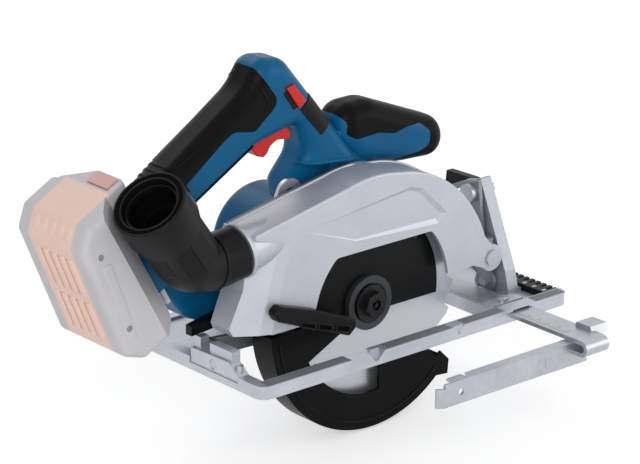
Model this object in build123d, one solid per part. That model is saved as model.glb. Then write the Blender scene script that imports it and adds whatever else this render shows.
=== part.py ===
from build123d import *

import os
from math import asin, cos, degrees, radians, sin, tan

# Cordless circular saw with the blade on the right of the motor.
# Millimetres. +X is the cutting direction, +Y the motor side and +Z up.
# The origin is the middle of the base on the sole plane.

# Clearances shared by all fits
RUN_GAP = 0.05      # radial gap of a shaft, pin or slide that turns or slides
MOVE_GAP = 0.6      # gap between pieces that pass each other
SEAT_GAP = 0.1      # gap of a seated piece in its pocket

# Base
BASE_LENGTH = 288
BASE_WIDTH = 160
BASE_CORNER_R = 8
SOLE_T = 4
RAIL_H = 9.5
NEAR_RAIL_W = 10.7
REAR_BAR_W = 9.2
FAR_RIM_W = 8
FAR_RIM_H = 6
FAR_PLATE_W = 72
FRONT_PLATE_L = 68
STRIP_L = 50        # sight strip, along Y
STRIP_W = 14        # sight strip, along X
STRIP_TOOTH_PITCH = 6

# Blade and spindle
BLADE_D = 165
BLADE_T = 1.6
BLADE_BORE = 20
BLADE_TEETH = 24
TOOTH_H = 5
CUT_DEPTH = 56.5
ARBOR_X = -10
BLADE_Y = -32
FLANGE_D = 40
OUTER_FLANGE_T = 4.2
INNER_FLANGE_T = 5.5
BOLT_HEAD_D = 19
BOLT_HEAD_T = 8
BOLT_D = 8
ARBOR_D = 15
ARBOR_BEARING_D = 35
ARBOR_BEARING_T = 11
LOCK_PIN_R = 2.5          # spindle lock
LOCK_HEAD_OUT = 10.6      # its head, out from the gear case
LOCK_HEAD_L = 6

# Gears and motor
GEAR_MODULE = 1.05
GEAR_TEETH = 40
PINION_TEETH = 10
GEAR_W = 9
GEAR_LINE_ANGLE = 114.6   # direction from the arbor to the motor axis
MOTOR_R = 41
MOTOR_BODY_L = 41
MOTOR_CAP_L = 14
MOTOR_WALL = 3
STATOR_L = 26
ROTOR_R = 21
AIR_GAP = 0.6
SHAFT_D = 8
MOTOR_BEARING_D = 19
MOTOR_BEARING_T = 6
FAN_R = 33

# Guards
GUARD_RIM_GAP = 8.5       # blade tip to the inside of the lower guard's rim
GUARD_T = 2               # lower guard wall
CASE_T = 3                # upper guard walls
UPPER_RIM_T = 2.4
NEST_GAP = 0.9            # lower guard inside the upper guard
SIDE_GAP = 5.2            # blade face to the lower guard's near wall
HUB_R = 23                # gear case boss that carries the lower guard
GUARD_START = 182         # rear edge of the lower guard, degrees about the arbor
GUARD_END = 318           # nose of the lower guard
GUARD_FRONT_SHIFT = 12    # how far the upper guard's front arc sits ahead of the arbor
WINDOW_CORNER_R = 6
PANEL_TAPER = 64          # slope of the pressed panel's edges
FOLD_X = -88              # upper end of the chute's first fold
FOLD_Z = 90
FOLD_LEAN = 16.8          # fold line from the vertical
FOLD_W = 8                # strip between the two folds
FOLD_DEPTH = 3.2
WINDOW_REAR_R = 57.5
WINDOW_FRONT_R = 67.5
WINDOW_TOP = 44           # above the arbor
LEVER_REACH = 103
LEVER_T = 8

# Tilting frame
BEVEL_Y = -26
BEVEL_Z = 10.5
BEVEL_PIN_D = 8
BEVEL_HUB_R = 8.5
QUADRANT_R = 65.7
QUADRANT_SWEEP = 45
PLATE_T = 3
FLANGE_W = 2.2            # side flange of the front upright
CLAMP_ANGLE = 75          # bevel clamp bolt about the bevel axis, from +Y
PIVOT_X = 100             # depth pivot
PIVOT_Z = 36
PIVOT_D = 9
PIVOT_BOSS_R = 10
DEPTH_R = 174             # depth pivot to the depth clamp bolt
DEPTH_SWEEP = 28
DEPTH_REST = -3           # depth clamp bolt at full depth, degrees below the pivot
CLAMP_BOLT_D = 8

# Dust outlet
PIPE_R = 15.6             # where the elbow turns on it
PIPE_ROOT_R = 13.5        # inside the upper guard
COLLAR_R = 18.4           # end of the chute, round the pipe
PIPE_DROP = 8.1           # degrees below the horizontal
PIPE_X = -120
PIPE_Z = 88.7
PIPE_Y = -28
ELBOW_R = 23
ELBOW_BEND_R = 34
ELBOW_TURN = 60.8
ELBOW_CORNER = 39         # pipe root to the corner of the bend
ELBOW_LEG = 76.7
MOUTH_R = 26
MOUTH_BORE_R = 20
ELBOW_SWING = 9.4         # swivelled towards the blade side
ELBOW_START = 4           # pipe root to the edge of the elbow
CUFF_R = 18.7             # slimmer end of the elbow, round the pipe
CUFF_END = 17             # pipe root to the full tube

# Handles
HANDLE_Y = 4
HANDLE_W = 34
HANDLE_ROUND = 11
OVERMOULD_T = 2.2
SHELL_T = 4.6
AUX_Y = 5
AUX_W = 34
AUX_ROUND = 13.5
TRIGGER_W = 15
TRIGGER_TRAVEL = 6
LOCK_TRAVEL = 3

# Battery, in its own slanted frame: U runs down the slide, V towards the saw
SLIDE_ANGLE = 28.3        # slide direction off the vertical
BATTERY_L = 112
BATTERY_T = 51.5
BATTERY_W = 76
BATTERY_Y = 14
CORNER_CUT = 24           # square whose half comes off the near front edge
COVER_NEAR = 24           # cover on the near side of the battery's middle
COVER_FAR = 24
SHOULDER_V = 17           # front of the battery's top, past its front face
SHOULDER_L = 18
BATTERY_TOP_U = -230
FOOT_V = -113
FOOT_T = 22
FOOT_L = 62
FOOT_TOP_U = -197
RAIL_H_V = 9
RAIL_W = 28
RAIL_Y = 16
RAIL_LIP = 2.4
CELL_D = 18.4
BUTTON_TRAVEL = 2.5
BUTTON_Y = 6
BUTTON_W = 22

# Parallel guide
ARM_W = 22
ARM_T = 3
GUIDE_SETBACK = 48        # guide arm behind the front edge
ARM_INNER_Y = 40
FENCE_Y = -145
FENCE_T = 2
FENCE_REAR = 133          # fence end behind the arm
FENCE_FRONT = 2           # fence end ahead of the arm
FENCE_BOTTOM = -13
FENCE_FLANGE = 9
ROLL_R = 6                # outside of the arm's rolled end
ROLL_REACH = 7

# Worked out
NEAR_Y = -BASE_WIDTH / 2
FAR_Y = BASE_WIDTH / 2
REAR_X = -BASE_LENGTH / 2
FRONT_X = BASE_LENGTH / 2
ARM_X = FRONT_X - GUIDE_SETBACK
OPEN_NEAR_Y = NEAR_Y + NEAR_RAIL_W
OPEN_FAR_Y = FAR_Y - FAR_PLATE_W
OPEN_REAR_X = REAR_X + REAR_BAR_W
OPEN_FRONT_X = FRONT_X - FRONT_PLATE_L
ARBOR_Z = BLADE_D / 2 - CUT_DEPTH
GEAR_DISTANCE = GEAR_MODULE * (GEAR_TEETH + PINION_TEETH) / 2
MOTOR_X = ARBOR_X + GEAR_DISTANCE * cos(radians(GEAR_LINE_ANGLE))
MOTOR_Z = ARBOR_Z + GEAR_DISTANCE * sin(radians(GEAR_LINE_ANGLE))
LOWER_IN_R = BLADE_D / 2 + GUARD_RIM_GAP
LOWER_R = LOWER_IN_R + GUARD_T
CAVITY_R = LOWER_R + NEST_GAP
UPPER_R = CAVITY_R + UPPER_RIM_T
LOWER_NEAR_IN = BLADE_Y - BLADE_T / 2 - SIDE_GAP
LOWER_NEAR = LOWER_NEAR_IN - GUARD_T
UPPER_NEAR_IN = LOWER_NEAR - 1.5
UPPER_NEAR = UPPER_NEAR_IN - CASE_T
INNER_FLANGE_Y = BLADE_Y + BLADE_T / 2 + INNER_FLANGE_T
HUB_END_Y = INNER_FLANGE_Y + 3.5
LOWER_FAR_IN = HUB_END_Y + 1
LOWER_FAR = LOWER_FAR_IN + 2.5
UPPER_FAR_IN = LOWER_FAR + 6
UPPER_FAR = UPPER_FAR_IN + CASE_T
GEAR_BACK_Y = UPPER_FAR + 32.5
MOTOR_FRONT_Y = GEAR_BACK_Y + PLATE_T
MOTOR_END_Y = MOTOR_FRONT_Y + MOTOR_BODY_L
CAP_END_Y = MOTOR_END_Y + MOTOR_CAP_L
GUIDE_Y = UPPER_FAR + 3.4
LUG_Y = GUIDE_Y + PLATE_T + 0.4
BOLT_X = PIVOT_X - DEPTH_R * cos(radians(DEPTH_REST))
BOLT_Z = PIVOT_Z + DEPTH_R * sin(radians(DEPTH_REST))
GRIP_DIR = (0.841, 0.541)


def box(x0, x1, y0, y1, z0, z1):
    """Box between two opposite corners."""
    return Pos((x0 + x1) / 2, (y0 + y1) / 2, (z0 + z1) / 2) * Box(x1 - x0, y1 - y0, z1 - z0)


def rod(start, end, radius):
    """Round bar between two points."""
    axis = Vector(*end) - Vector(*start)
    place = Plane(origin=start, z_dir=axis.normalized())
    return place * Cylinder(radius, axis.length, align=(Align.CENTER, Align.CENTER, Align.MIN))


def rod_y(x, z, radius, y0, y1):
    """Round bar along Y."""
    return rod((x, y0, z), (x, y1, z), radius)


def rod_x(y, z, radius, x0, x1):
    """Round bar along X."""
    return rod((x0, y, z), (x1, y, z), radius)


def plane_y(y):
    """Drawing plane whose sketch axes are +X and +Z, extruded towards -Y."""
    return Plane(origin=(0, y, 0), x_dir=(1, 0, 0), z_dir=(0, -1, 0))


def plane_x(x):
    """Drawing plane whose sketch axes are +Y and +Z, extruded towards +X."""
    return Plane(origin=(x, 0, 0), x_dir=(0, 1, 0), z_dir=(1, 0, 0))


def polygon(points):
    """Flat face with straight sides."""
    return make_face(Polyline(*points, close=True))


def rounded(corners):
    """Flat face from (a, b, corner radius) rows."""
    points = [(a, b) for a, b, _ in corners]
    return make_face(FilletPolyline(*points, radius=[r for _, _, r in corners], close=True))


def slab_y(face, y0, y1):
    """Face drawn in X and Z, thick from y0 to y1."""
    return extrude(plane_y(y1) * face, amount=y1 - y0)


def slab_x(face, x0, x1):
    """Face drawn in Y and Z, thick from x0 to x1."""
    return extrude(plane_x(x0) * face, amount=x1 - x0)


def disc(x, z, radius):
    """Round face in a drawing plane."""
    return Pos(x, z) * Circle(radius)


def polar(centre, radius, angle):
    """Point at an angle in degrees about a centre."""
    return (centre[0] + radius * cos(radians(angle)), centre[1] + radius * sin(radians(angle)))


def sector(centre, radius, start, end):
    """Pie slice face between two angles in degrees."""
    middle = (start + end) / 2
    rim = ThreePointArc(
        polar(centre, radius, start), polar(centre, radius, middle), polar(centre, radius, end)
    )
    sides = Polyline(polar(centre, radius, end), centre, polar(centre, radius, start))
    return make_face([rim, sides])


def arc_slot(centre, radius, width, start, end):
    """Curved slot face with round ends."""
    band = sector(centre, radius + width / 2, start, end) - disc(*centre, radius - width / 2)
    return band + disc(*polar(centre, radius, start), width / 2) + disc(*polar(centre, radius, end),
        width / 2)


def screw(head, tip, head_r, shank_r, head_t):
    """Pan head screw from the top of its head to its tip."""
    axis = (Vector(*tip) - Vector(*head)).normalized()
    under = Vector(*head) + axis * head_t
    return rod(head, tuple(under), head_r) + rod(tuple(under), tip, shank_r)


def group(solids):
    """Separate solids kept in one node."""
    return Compound(children=list(solids))


ARBOR = (ARBOR_X, ARBOR_Z)
MOTOR = (MOTOR_X, MOTOR_Z)
PIVOT = (PIVOT_X, PIVOT_Z)
BEVEL = (BEVEL_Y, BEVEL_Z)
PARTS = {}


# Base plate: rails round a blade opening, a front plate and a far plate

def base_plate():
    outline = RectangleRounded(BASE_LENGTH, BASE_WIDTH, BASE_CORNER_R)
    body = extrude(outline, amount=RAIL_H)
    body -= box(OPEN_REAR_X, OPEN_FRONT_X, OPEN_NEAR_Y, OPEN_FAR_Y, -1, RAIL_H + 1)
    bay = HUB_R + 12
    body -= box(ARBOR_X - bay, ARBOR_X + bay, OPEN_FAR_Y - 1, MOTOR_FRONT_Y + 3, -1, RAIL_H + 1)
    body -= box(OPEN_FRONT_X + 4, FRONT_X - REAR_BAR_W, OPEN_NEAR_Y, FAR_Y - FAR_RIM_W, SOLE_T,
        RAIL_H + 1)
    body -= box(OPEN_REAR_X, OPEN_FRONT_X + 5, OPEN_FAR_Y + 4, FAR_Y - FAR_RIM_W, SOLE_T, RAIL_H + 1)
    body -= box(OPEN_REAR_X, FRONT_X + 1, OPEN_FAR_Y - 1, FAR_Y + 1, FAR_RIM_H, RAIL_H + 1)
    # seat of the sight strip on the front edge
    body -= box(FRONT_X - REAR_BAR_W - 1, FRONT_X + 1, OPEN_NEAR_Y, OPEN_NEAR_Y + STRIP_L + 2, SOLE_T,
        RAIL_H + 1)
    # seat of the rear bevel bracket on the rear bar
    body -= box(REAR_X - 1, OPEN_REAR_X + 1, BEVEL_Y - 28, BEVEL_Y + 25, SOLE_T + 1, RAIL_H + 1)
    # recess under the front bevel hub
    body -= box(QUAD_X - 0.8, QUAD_X + PLATE_T + 0.8, BEVEL_Y - BEVEL_HUB_R - 2,
        BEVEL_Y + BEVEL_HUB_R + 2, BEVEL_Z - BEVEL_HUB_R - 0.8, RAIL_H)
    # slot that the guide arm slides through
    arm = ARM_W / 2 + RUN_GAP
    body -= box(ARM_X - arm, ARM_X + arm, NEAR_Y - 1, OPEN_NEAR_Y + 1, SOLE_T, SOLE_T + ARM_T + 0.4)
    body -= box(ARM_X - arm + 3, ARM_X + arm - 3, NEAR_Y - 1, OPEN_NEAR_Y + 1, SOLE_T,
        SOLE_T + ARM_T + 1.6)
    # sloping scoop in the near rail beside the blade, with a notch ahead of it
    scoop = [(NEAR_Y - 1, 1.8), (OPEN_NEAR_Y + 0.6, RAIL_H), (OPEN_NEAR_Y + 0.6, RAIL_H + 2),
        (NEAR_Y - 1, RAIL_H + 2)]
    body -= slab_x(polygon(scoop), ARBOR_X - 54, ARBOR_X - 32)
    body -= slab_y(polygon([(ARBOR_X - 32.5, 3), (ARBOR_X - 30, 3.4), (ARBOR_X - 23, RAIL_H + 1),
        (ARBOR_X - 32.5, RAIL_H + 1)]),
                   NEAR_Y - 1, OPEN_NEAR_Y - 4)
    # V mark that points at the cut line
    mark = [(ARBOR_X + 41, RAIL_H + 1), (ARBOR_X + 51, RAIL_H + 1), (ARBOR_X + 46, 3)]
    body -= slab_y(polygon(mark), NEAR_Y - 1, NEAR_Y + 2)
    return body


def sight_strip():
    x1 = FRONT_X - 0.5
    y0 = OPEN_NEAR_Y + 0.5
    body = box(x1 - STRIP_W, x1, y0, y0 + STRIP_L, SOLE_T, RAIL_H - 0.5)
    count = int(STRIP_L / STRIP_TOOTH_PITCH)
    start = y0 + (STRIP_L - (count - 1) * STRIP_TOOTH_PITCH) / 2
    for i in range(count):
        y = start + i * STRIP_TOOTH_PITCH
        body -= box(x1 - 7, x1 + 1, y - 1.2, y + 1.2, SOLE_T + 2, RAIL_H)
    return body


# Bevel pieces fixed to the base

UPRIGHT_X = PIVOT_X + 16
QUAD_X = UPRIGHT_X - PLATE_T - 1.5
CLAMP = polar(BEVEL, QUADRANT_R, CLAMP_ANGLE)


def front_upright():
    foot = SOLE_T
    half = 8
    lean = polar((0, 0), half, CLAMP_ANGLE - 90)
    top = polar(BEVEL, QUADRANT_R + 9, CLAMP_ANGLE)
    face = polygon([
        (BEVEL_Y - 20, foot), (BEVEL_Y + 16, foot), (BEVEL_Y + 13, BEVEL_Z + 8),
        (top[0] + lean[0], top[1] + lean[1]), (top[0] - lean[0], top[1] - lean[1]),
        (BEVEL_Y - 16, BEVEL_Z + 10),
    ])
    plate = slab_x(face, UPRIGHT_X, UPRIGHT_X + PLATE_T)
    plate += box(UPRIGHT_X, UPRIGHT_X + 12.5, BEVEL_Y - 20, BEVEL_Y + 16, foot, foot + PLATE_T)
    crown = (top[0] - lean[0], top[1] - lean[1])
    knee = (BEVEL_Y - 16, BEVEL_Z + 10)
    flange = polygon([crown, knee, (BEVEL_Y - 20, foot), (BEVEL_Y - 20 + FLANGE_W, foot),
        (knee[0] + FLANGE_W, knee[1]), (crown[0] + FLANGE_W, crown[1])])
    plate += slab_x(flange, UPRIGHT_X, UPRIGHT_X + 10)
    plate -= rod_x(*BEVEL, BEVEL_PIN_D / 2, UPRIGHT_X - 1, UPRIGHT_X + PLATE_T + 3)
    plate -= rod_x(*CLAMP, CLAMP_BOLT_D / 2, UPRIGHT_X - 1, UPRIGHT_X + PLATE_T + 1)
    return plate


def rear_bracket():
    x0 = REAR_X + 1
    x1 = OPEN_REAR_X + 1.2
    foot = SOLE_T + 1
    lower = polygon([
        (BEVEL_Y + 24.5, foot), (BEVEL_Y - 27.5, foot), (BEVEL_Y - 27.5, foot + 4),
        (BEVEL_Y - 16, BEVEL_Z + 6.5), (BEVEL_Y + 24.5, BEVEL_Z + 5.5),
    ])
    body = slab_x(lower, x0, x1)
    body += box(x0 + 2, x1, BEVEL_Y - 18, BEVEL_Y + 6, foot + 6, BEVEL_Z + 13.5)
    body += box(x0 + 2, x1, BEVEL_Y + 16, BEVEL_Y + 22, foot + 6, BEVEL_Z + 14.5)
    body -= rod_x(*BEVEL, BEVEL_PIN_D / 2, x0 - 1, x1 + 1)
    return body


FRONT_SCREW_SPOTS = [(UPRIGHT_X + 8, BEVEL_Y - 14), (UPRIGHT_X + 8, BEVEL_Y + 10)]
REAR_SCREW_SPOTS = [(REAR_X + 6, BEVEL_Y - 23), (REAR_X + 6, BEVEL_Y + 13)]


def base_screws():
    front = [screw((x, y, SOLE_T + PLATE_T + 2.4), (x, y, 1), 3.4, 1.9, 2.4) for x,
        y in FRONT_SCREW_SPOTS]
    rear = [screw((x, y, BEVEL_Z + 5), (x, y, 1), 2.6, 1.6, 9) for x, y in REAR_SCREW_SPOTS]
    return front + rear


def bevel_bolt():
    head_x = QUAD_X - 4.5
    bolt = rod_x(*CLAMP, 7, head_x, QUAD_X - 0.3)
    return bolt + rod_x(*CLAMP, CLAMP_BOLT_D / 2, QUAD_X - 0.4, UPRIGHT_X + PLATE_T + 13)


def bevel_lever():
    x0 = UPRIGHT_X + PLATE_T + 0.4
    hub = rod_x(*CLAMP, 6.5, x0, x0 + 9)
    tip = polar(CLAMP, 36, 2)
    arm = slab_x(polygon([
        (CLAMP[0] - 3, CLAMP[1] + 5), (CLAMP[0] + 8, CLAMP[1] + 7), (tip[0], tip[1] + 5),
        (tip[0] + 1, tip[1] - 4), (CLAMP[0] + 6, CLAMP[1] - 5),
    ]), x0 + 1, x0 + 7)
    return hub + arm - rod_x(*CLAMP, CLAMP_BOLT_D / 2 + RUN_GAP, x0 - 1, x0 + 10)


# Tilting frame

def front_quadrant():
    low = CLAMP_ANGLE - QUADRANT_SWEEP
    plate = sector(BEVEL, QUADRANT_R + 9, low - 9, CLAMP_ANGLE + 8) + disc(*BEVEL, BEVEL_HUB_R)
    plate -= arc_slot(BEVEL, QUADRANT_R, CLAMP_BOLT_D + 0.8, low - 1, CLAMP_ANGLE + 1)
    body = slab_x(plate, QUAD_X, QUAD_X + PLATE_T)
    lug_face = polygon([
        (QUAD_X + 1, BEVEL_Z), (QUAD_X + 1, PIVOT_Z + 9), (PIVOT_X, PIVOT_Z + 9),
        (PIVOT_X - 6, PIVOT_Z - 6),
        (PIVOT_X + 2, PIVOT_Z - 12), (QUAD_X - 3, BEVEL_Z),
    ])
    lug = slab_y(lug_face + disc(*PIVOT, 9), BEVEL_Y - 6, BEVEL_Y + 2)
    body += lug
    body -= rod_x(*BEVEL, BEVEL_PIN_D / 2 + RUN_GAP, QUAD_X - 12, QUAD_X + PLATE_T + 1)
    body -= rod_y(*PIVOT, PIVOT_D / 2, BEVEL_Y - 7, BEVEL_Y + 3)
    return body


def front_bevel_pin():
    return rod_x(*BEVEL, BEVEL_PIN_D / 2, QUAD_X - 3, UPRIGHT_X + PLATE_T + 0.8)


def rear_bevel_pin():
    return rod_x(*BEVEL, BEVEL_PIN_D / 2, REAR_X + 1.5, OPEN_REAR_X + 8)


HUB_X = OPEN_REAR_X + 1.8


def rear_tilt_bracket():
    hub = disc(*BEVEL, BEVEL_HUB_R + 1) + polygon([
        (BEVEL_Y, BEVEL_Z - 6), (GUIDE_Y + PLATE_T, BEVEL_Z - 4), (GUIDE_Y + PLATE_T, BEVEL_Z + 10),
        (BEVEL_Y, BEVEL_Z + 11),
    ])
    body = slab_x(hub, HUB_X, HUB_X + 5)
    strap = polygon([
        (HUB_X, BEVEL_Z - 4), (BOLT_X + 6, BEVEL_Z - 6), (BOLT_X + 8, BEVEL_Z + 2),
        (BOLT_X - 16, BEVEL_Z + 6),
        (HUB_X, BEVEL_Z + 10),
    ])
    body += slab_y(strap, GUIDE_Y, GUIDE_Y + PLATE_T)
    return body - rod_x(*BEVEL, BEVEL_PIN_D / 2 + RUN_GAP, HUB_X - 1, HUB_X + 6)


def depth_guide():
    start = 180 - DEPTH_REST + 4
    end = 180 - DEPTH_REST - DEPTH_SWEEP
    face = arc_slot(PIVOT, DEPTH_R, 22, start - 1, end)
    face -= arc_slot(PIVOT, DEPTH_R, CLAMP_BOLT_D + 0.8, start - 3.4, end)
    body = slab_y(face, GUIDE_Y, GUIDE_Y + PLATE_T)
    return body - PARTS["rear_tilt_bracket"]


def pivot_pin():
    near = UPPER_NEAR - 1.9
    pin = rod_y(*PIVOT, PIVOT_D / 2, near + 1, BEVEL_Y + 4) + rod_y(*PIVOT, 6, near, near + 1.6)
    return pin - box(PIVOT_X - 7, PIVOT_X + 7, near - 1, near + 0.9, PIVOT_Z - 0.8, PIVOT_Z + 0.8)


# Upper guard

CHUTE = [(-13, 95.3), (-110, 76.5), (-107, 54), (-111, 34), (-122, 8), (-120, 3), (-60, 2)]


def guard_face(grow):
    """Upper guard outline in X and Z, with every side moved out by grow."""
    ax, az = ARBOR
    bx, bz = ax + GUARD_FRONT_SHIFT, az - 2
    radius = CAVITY_R + UPPER_RIM_T + grow
    face = disc(ax, az, radius) + disc(bx, bz, radius)
    face += polygon([(ax, az), (bx, bz), (bx, bz + radius), (ax, az + radius)])
    stretch = CAVITY_R / 94.0
    rear = offset(polygon([(ax + a * stretch, az + b) for a, b in CHUTE]),
        amount=grow) if grow else polygon(
        [(ax + a * stretch, az + b) for a, b in CHUTE]
    )
    face += rear
    far = 2 * UPPER_R
    face -= polygon([(ax - far, az + 2 - grow), (ax + 20, az + 2 - grow), (ax + 20, az - far),
        (ax - far, az - far)])
    face -= polygon([(ax + 10, az + 8 - grow), (ax + far, az + 8 - grow), (ax + far, az - far),
        (ax + 10, az - far)])
    return face


def pipe_point(distance):
    """Point on the dust pipe's axis, counted rearwards from its root."""
    drop = radians(PIPE_DROP)
    return (PIPE_X - distance * cos(drop), PIPE_Y, PIPE_Z - distance * sin(drop))


def window_face():
    ax, az = ARBOR
    big = 2 * WINDOW_FRONT_R
    rear = disc(ax, az, WINDOW_REAR_R) & (Pos(ax - big / 2, az) * Rectangle(big, 2 * big))
    front = disc(ax, az, WINDOW_FRONT_R) & (Pos(ax + big / 2, az) * Rectangle(big, 2 * big))
    face = rear + front
    face -= Pos(ax, az + WINDOW_TOP + big / 2) * Rectangle(2 * big, big)
    face = fillet(face.vertices().group_by(Axis.Y)[-1], WINDOW_CORNER_R)
    face += polygon([
        (ax - WINDOW_REAR_R, az), (ax + WINDOW_FRONT_R, az), (ax + WINDOW_FRONT_R, az - big),
        (ax - WINDOW_REAR_R, az - big),
    ])
    return face


def chute_collar():
    """Cone of the chute that grows out of the guard and ends round the dust pipe."""
    end = pipe_point(ELBOW_START - 1 - SEAT_GAP)
    root = pipe_point(-34)
    along = tuple(Vector(*root) - Vector(*end))
    return loft([Plane(origin=end, z_dir=along) * Circle(COLLAR_R),
        Plane(origin=root, z_dir=along) * Circle(PIPE_ROOT_R + 0.4)])


def chute_fold(near):
    """Space beside the chute below the dust pipe, where its near side folds back twice."""
    place = Plane(origin=(FOLD_X, near, FOLD_Z), x_dir=(-cos(radians(FOLD_LEAN)), 0, sin(radians(FOLD_LEAN))),
        z_dir=(-sin(radians(FOLD_LEAN)), 0, -cos(radians(FOLD_LEAN))))
    face = polygon([(0, -2), (0, 0), (FOLD_W, FOLD_DEPTH), (FOLD_W + 40, FOLD_DEPTH + 26), (FOLD_W + 40, -2)])
    return extrude(place * face, amount=140)


def upper_guard():
    body = slab_y(guard_face(0), UPPER_NEAR, UPPER_FAR)
    near_edges = [
        e for e in body.faces().sort_by(Axis.Y)[0].edges() if e.center().Z > ARBOR_Z + 25
    ]
    body = fillet(near_edges, 1.5)
    body -= chute_fold(UPPER_NEAR)
    body += chute_collar()
    boss = disc(*PIVOT, PIVOT_BOSS_R) + polygon([
        (ARBOR_X + 92, ARBOR_Z + 8), (PIVOT_X, PIVOT_Z - PIVOT_BOSS_R + 1),
        (PIVOT_X, PIVOT_Z + PIVOT_BOSS_R), (ARBOR_X + 92, ARBOR_Z + 40),
    ])
    body += slab_y(boss, UPPER_NEAR, BEVEL_Y - 7)
    body -= slab_y(disc(*ARBOR, CAVITY_R), UPPER_NEAR_IN, UPPER_FAR_IN)
    inner = 3.2
    chute = [
        (-30, 92 - inner), (-105, 77.4 - inner), (-103, 54), (-107, 34), (-117, 6), (-117, -5),
        (-60, -5), (-30, 30),
    ]
    stretch = CAVITY_R / 94.0
    chute_face = polygon([(ARBOR_X + a * stretch, ARBOR_Z + b) for a, b in chute])
    hollow = slab_y(chute_face, UPPER_NEAR_IN, UPPER_FAR_IN)
    body -= hollow - chute_fold(UPPER_NEAR_IN)
    body -= slab_y(window_face(), UPPER_NEAR - 1, UPPER_NEAR_IN + 0.5)
    body -= box(ARBOR_X + 93, PIVOT_X + 40, BEVEL_Y - 6.6, UPPER_FAR + 1, ARBOR_Z, PIVOT_Z + 17)
    body -= rod_y(*PIVOT, PIVOT_D / 2 + RUN_GAP, UPPER_NEAR - 1, BEVEL_Y)
    body -= rod_y(*ARBOR, HUB_R + SEAT_GAP, UPPER_FAR_IN - 1, UPPER_FAR + 1)
    body -= rod(pipe_point(-26), pipe_point(30), PIPE_ROOT_R + SEAT_GAP)
    # shallow panel pressed into the near face
    panel = polygon([
        (ARBOR_X - 66, ARBOR_Z + 70), (ARBOR_X + 30, ARBOR_Z + 78.5), (ARBOR_X + 40, ARBOR_Z + 75),
        (ARBOR_X + 60, ARBOR_Z + 55),
        (ARBOR_X + 56, ARBOR_Z + 52), (ARBOR_X - 20, ARBOR_Z + 54),
    ])
    tilt = degrees(asin(1.8 / 126))
    cut = Plane(origin=(ARBOR_X - 66, UPPER_NEAR, 0), x_dir=(cos(radians(tilt)), sin(radians(tilt)), 0),
                z_dir=(sin(radians(tilt)), -cos(radians(tilt)), 0))
    body -= extrude(cut * (Pos(66 - ARBOR_X, 0) * panel), amount=2.6, taper=-PANEL_TAPER)
    for x, z in GUARD_SCREW_SPOTS:
        body -= rod_y(x, z, 2.2, UPPER_FAR_IN - 1, UPPER_FAR + 1)
    return body


GUARD_SCREW_SPOTS = [polar(ARBOR, HUB_R + 12, a) for a in (20, 160, 300)]


def guard_screws():
    near = UPPER_FAR_IN - 2.2
    return [screw((x, near, z), (x, UPPER_FAR + 6, z), 4.2, 2.2, 2.2) for x, z in GUARD_SCREW_SPOTS]


def dust_pipe():
    pipe = rod(pipe_point(-4), pipe_point(4), PIPE_ROOT_R) + rod(pipe_point(ELBOW_START - 1),
        pipe_point(17), PIPE_R)
    return pipe - rod(pipe_point(-5), pipe_point(18), PIPE_ROOT_R - 2)


def elbow_path(start, end):
    """Centre line of the elbow: along the pipe, round the bend and up to the mouth."""
    turn = radians(ELBOW_TURN)
    drop = radians(PIPE_DROP)
    reach = ELBOW_BEND_R * tan(turn / 2)
    into = Vector(-cos(drop), 0, -sin(drop))
    out = into.rotate(Axis.Y, ELBOW_TURN)
    root = Vector(*pipe_point(0))
    bend = root + into * ELBOW_CORNER
    a = bend - into * reach
    b = bend + out * reach
    middle = bend + (out - into).normalized() * (ELBOW_BEND_R / cos(turn / 2) - ELBOW_BEND_R)
    first = Line(root + into * start, a)
    arc = ThreePointArc(a, middle, b)
    last = Line(b, bend + out * end)
    return first, arc, last, bend, out


def swung(shape):
    """Turn a piece about the pipe's axis to the elbow's swivel."""
    axis = Axis(pipe_point(0), tuple(Vector(*pipe_point(1)) - Vector(*pipe_point(0))))
    return shape.rotate(axis, -ELBOW_SWING)


def elbow_tube(radius, start, end):
    first, arc, last, _, _ = elbow_path(start, end)
    path = Wire([first.edges()[0], arc.edges()[0], last.edges()[0]])
    section = Plane(origin=first @ 0, z_dir=first % 0) * Circle(radius)
    return sweep(section, path=path)


def dust_elbow():
    _, _, _, bend, out = elbow_path(ELBOW_START, ELBOW_LEG)
    mouth = bend + out * ELBOW_LEG
    body = elbow_tube(ELBOW_R, CUFF_END, ELBOW_LEG)
    low = mouth - out * 34
    high = mouth - out * 22
    flare = loft([Plane(origin=low, z_dir=out) * Circle(ELBOW_R),
        Plane(origin=high, z_dir=out) * Circle(MOUTH_R)])
    body += flare
    body += rod(tuple(high), tuple(mouth), MOUTH_R)
    body += rod(pipe_point(ELBOW_START), pipe_point(CUFF_END + 1), CUFF_R)
    back = tuple(Vector(*pipe_point(1)) - Vector(*pipe_point(0)))
    body += loft([Plane(origin=pipe_point(CUFF_END - 5), z_dir=back) * Circle(CUFF_R - 0.2),
        Plane(origin=pipe_point(CUFF_END + 0.5), z_dir=back) * Circle(ELBOW_R - 0.2)])
    body -= elbow_tube(PIPE_R + RUN_GAP, ELBOW_START - 1, ELBOW_LEG - 1)
    body -= rod(tuple(mouth - out * 26), tuple(mouth + out), MOUTH_BORE_R)
    return swung(body)


# Lower guard

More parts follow.
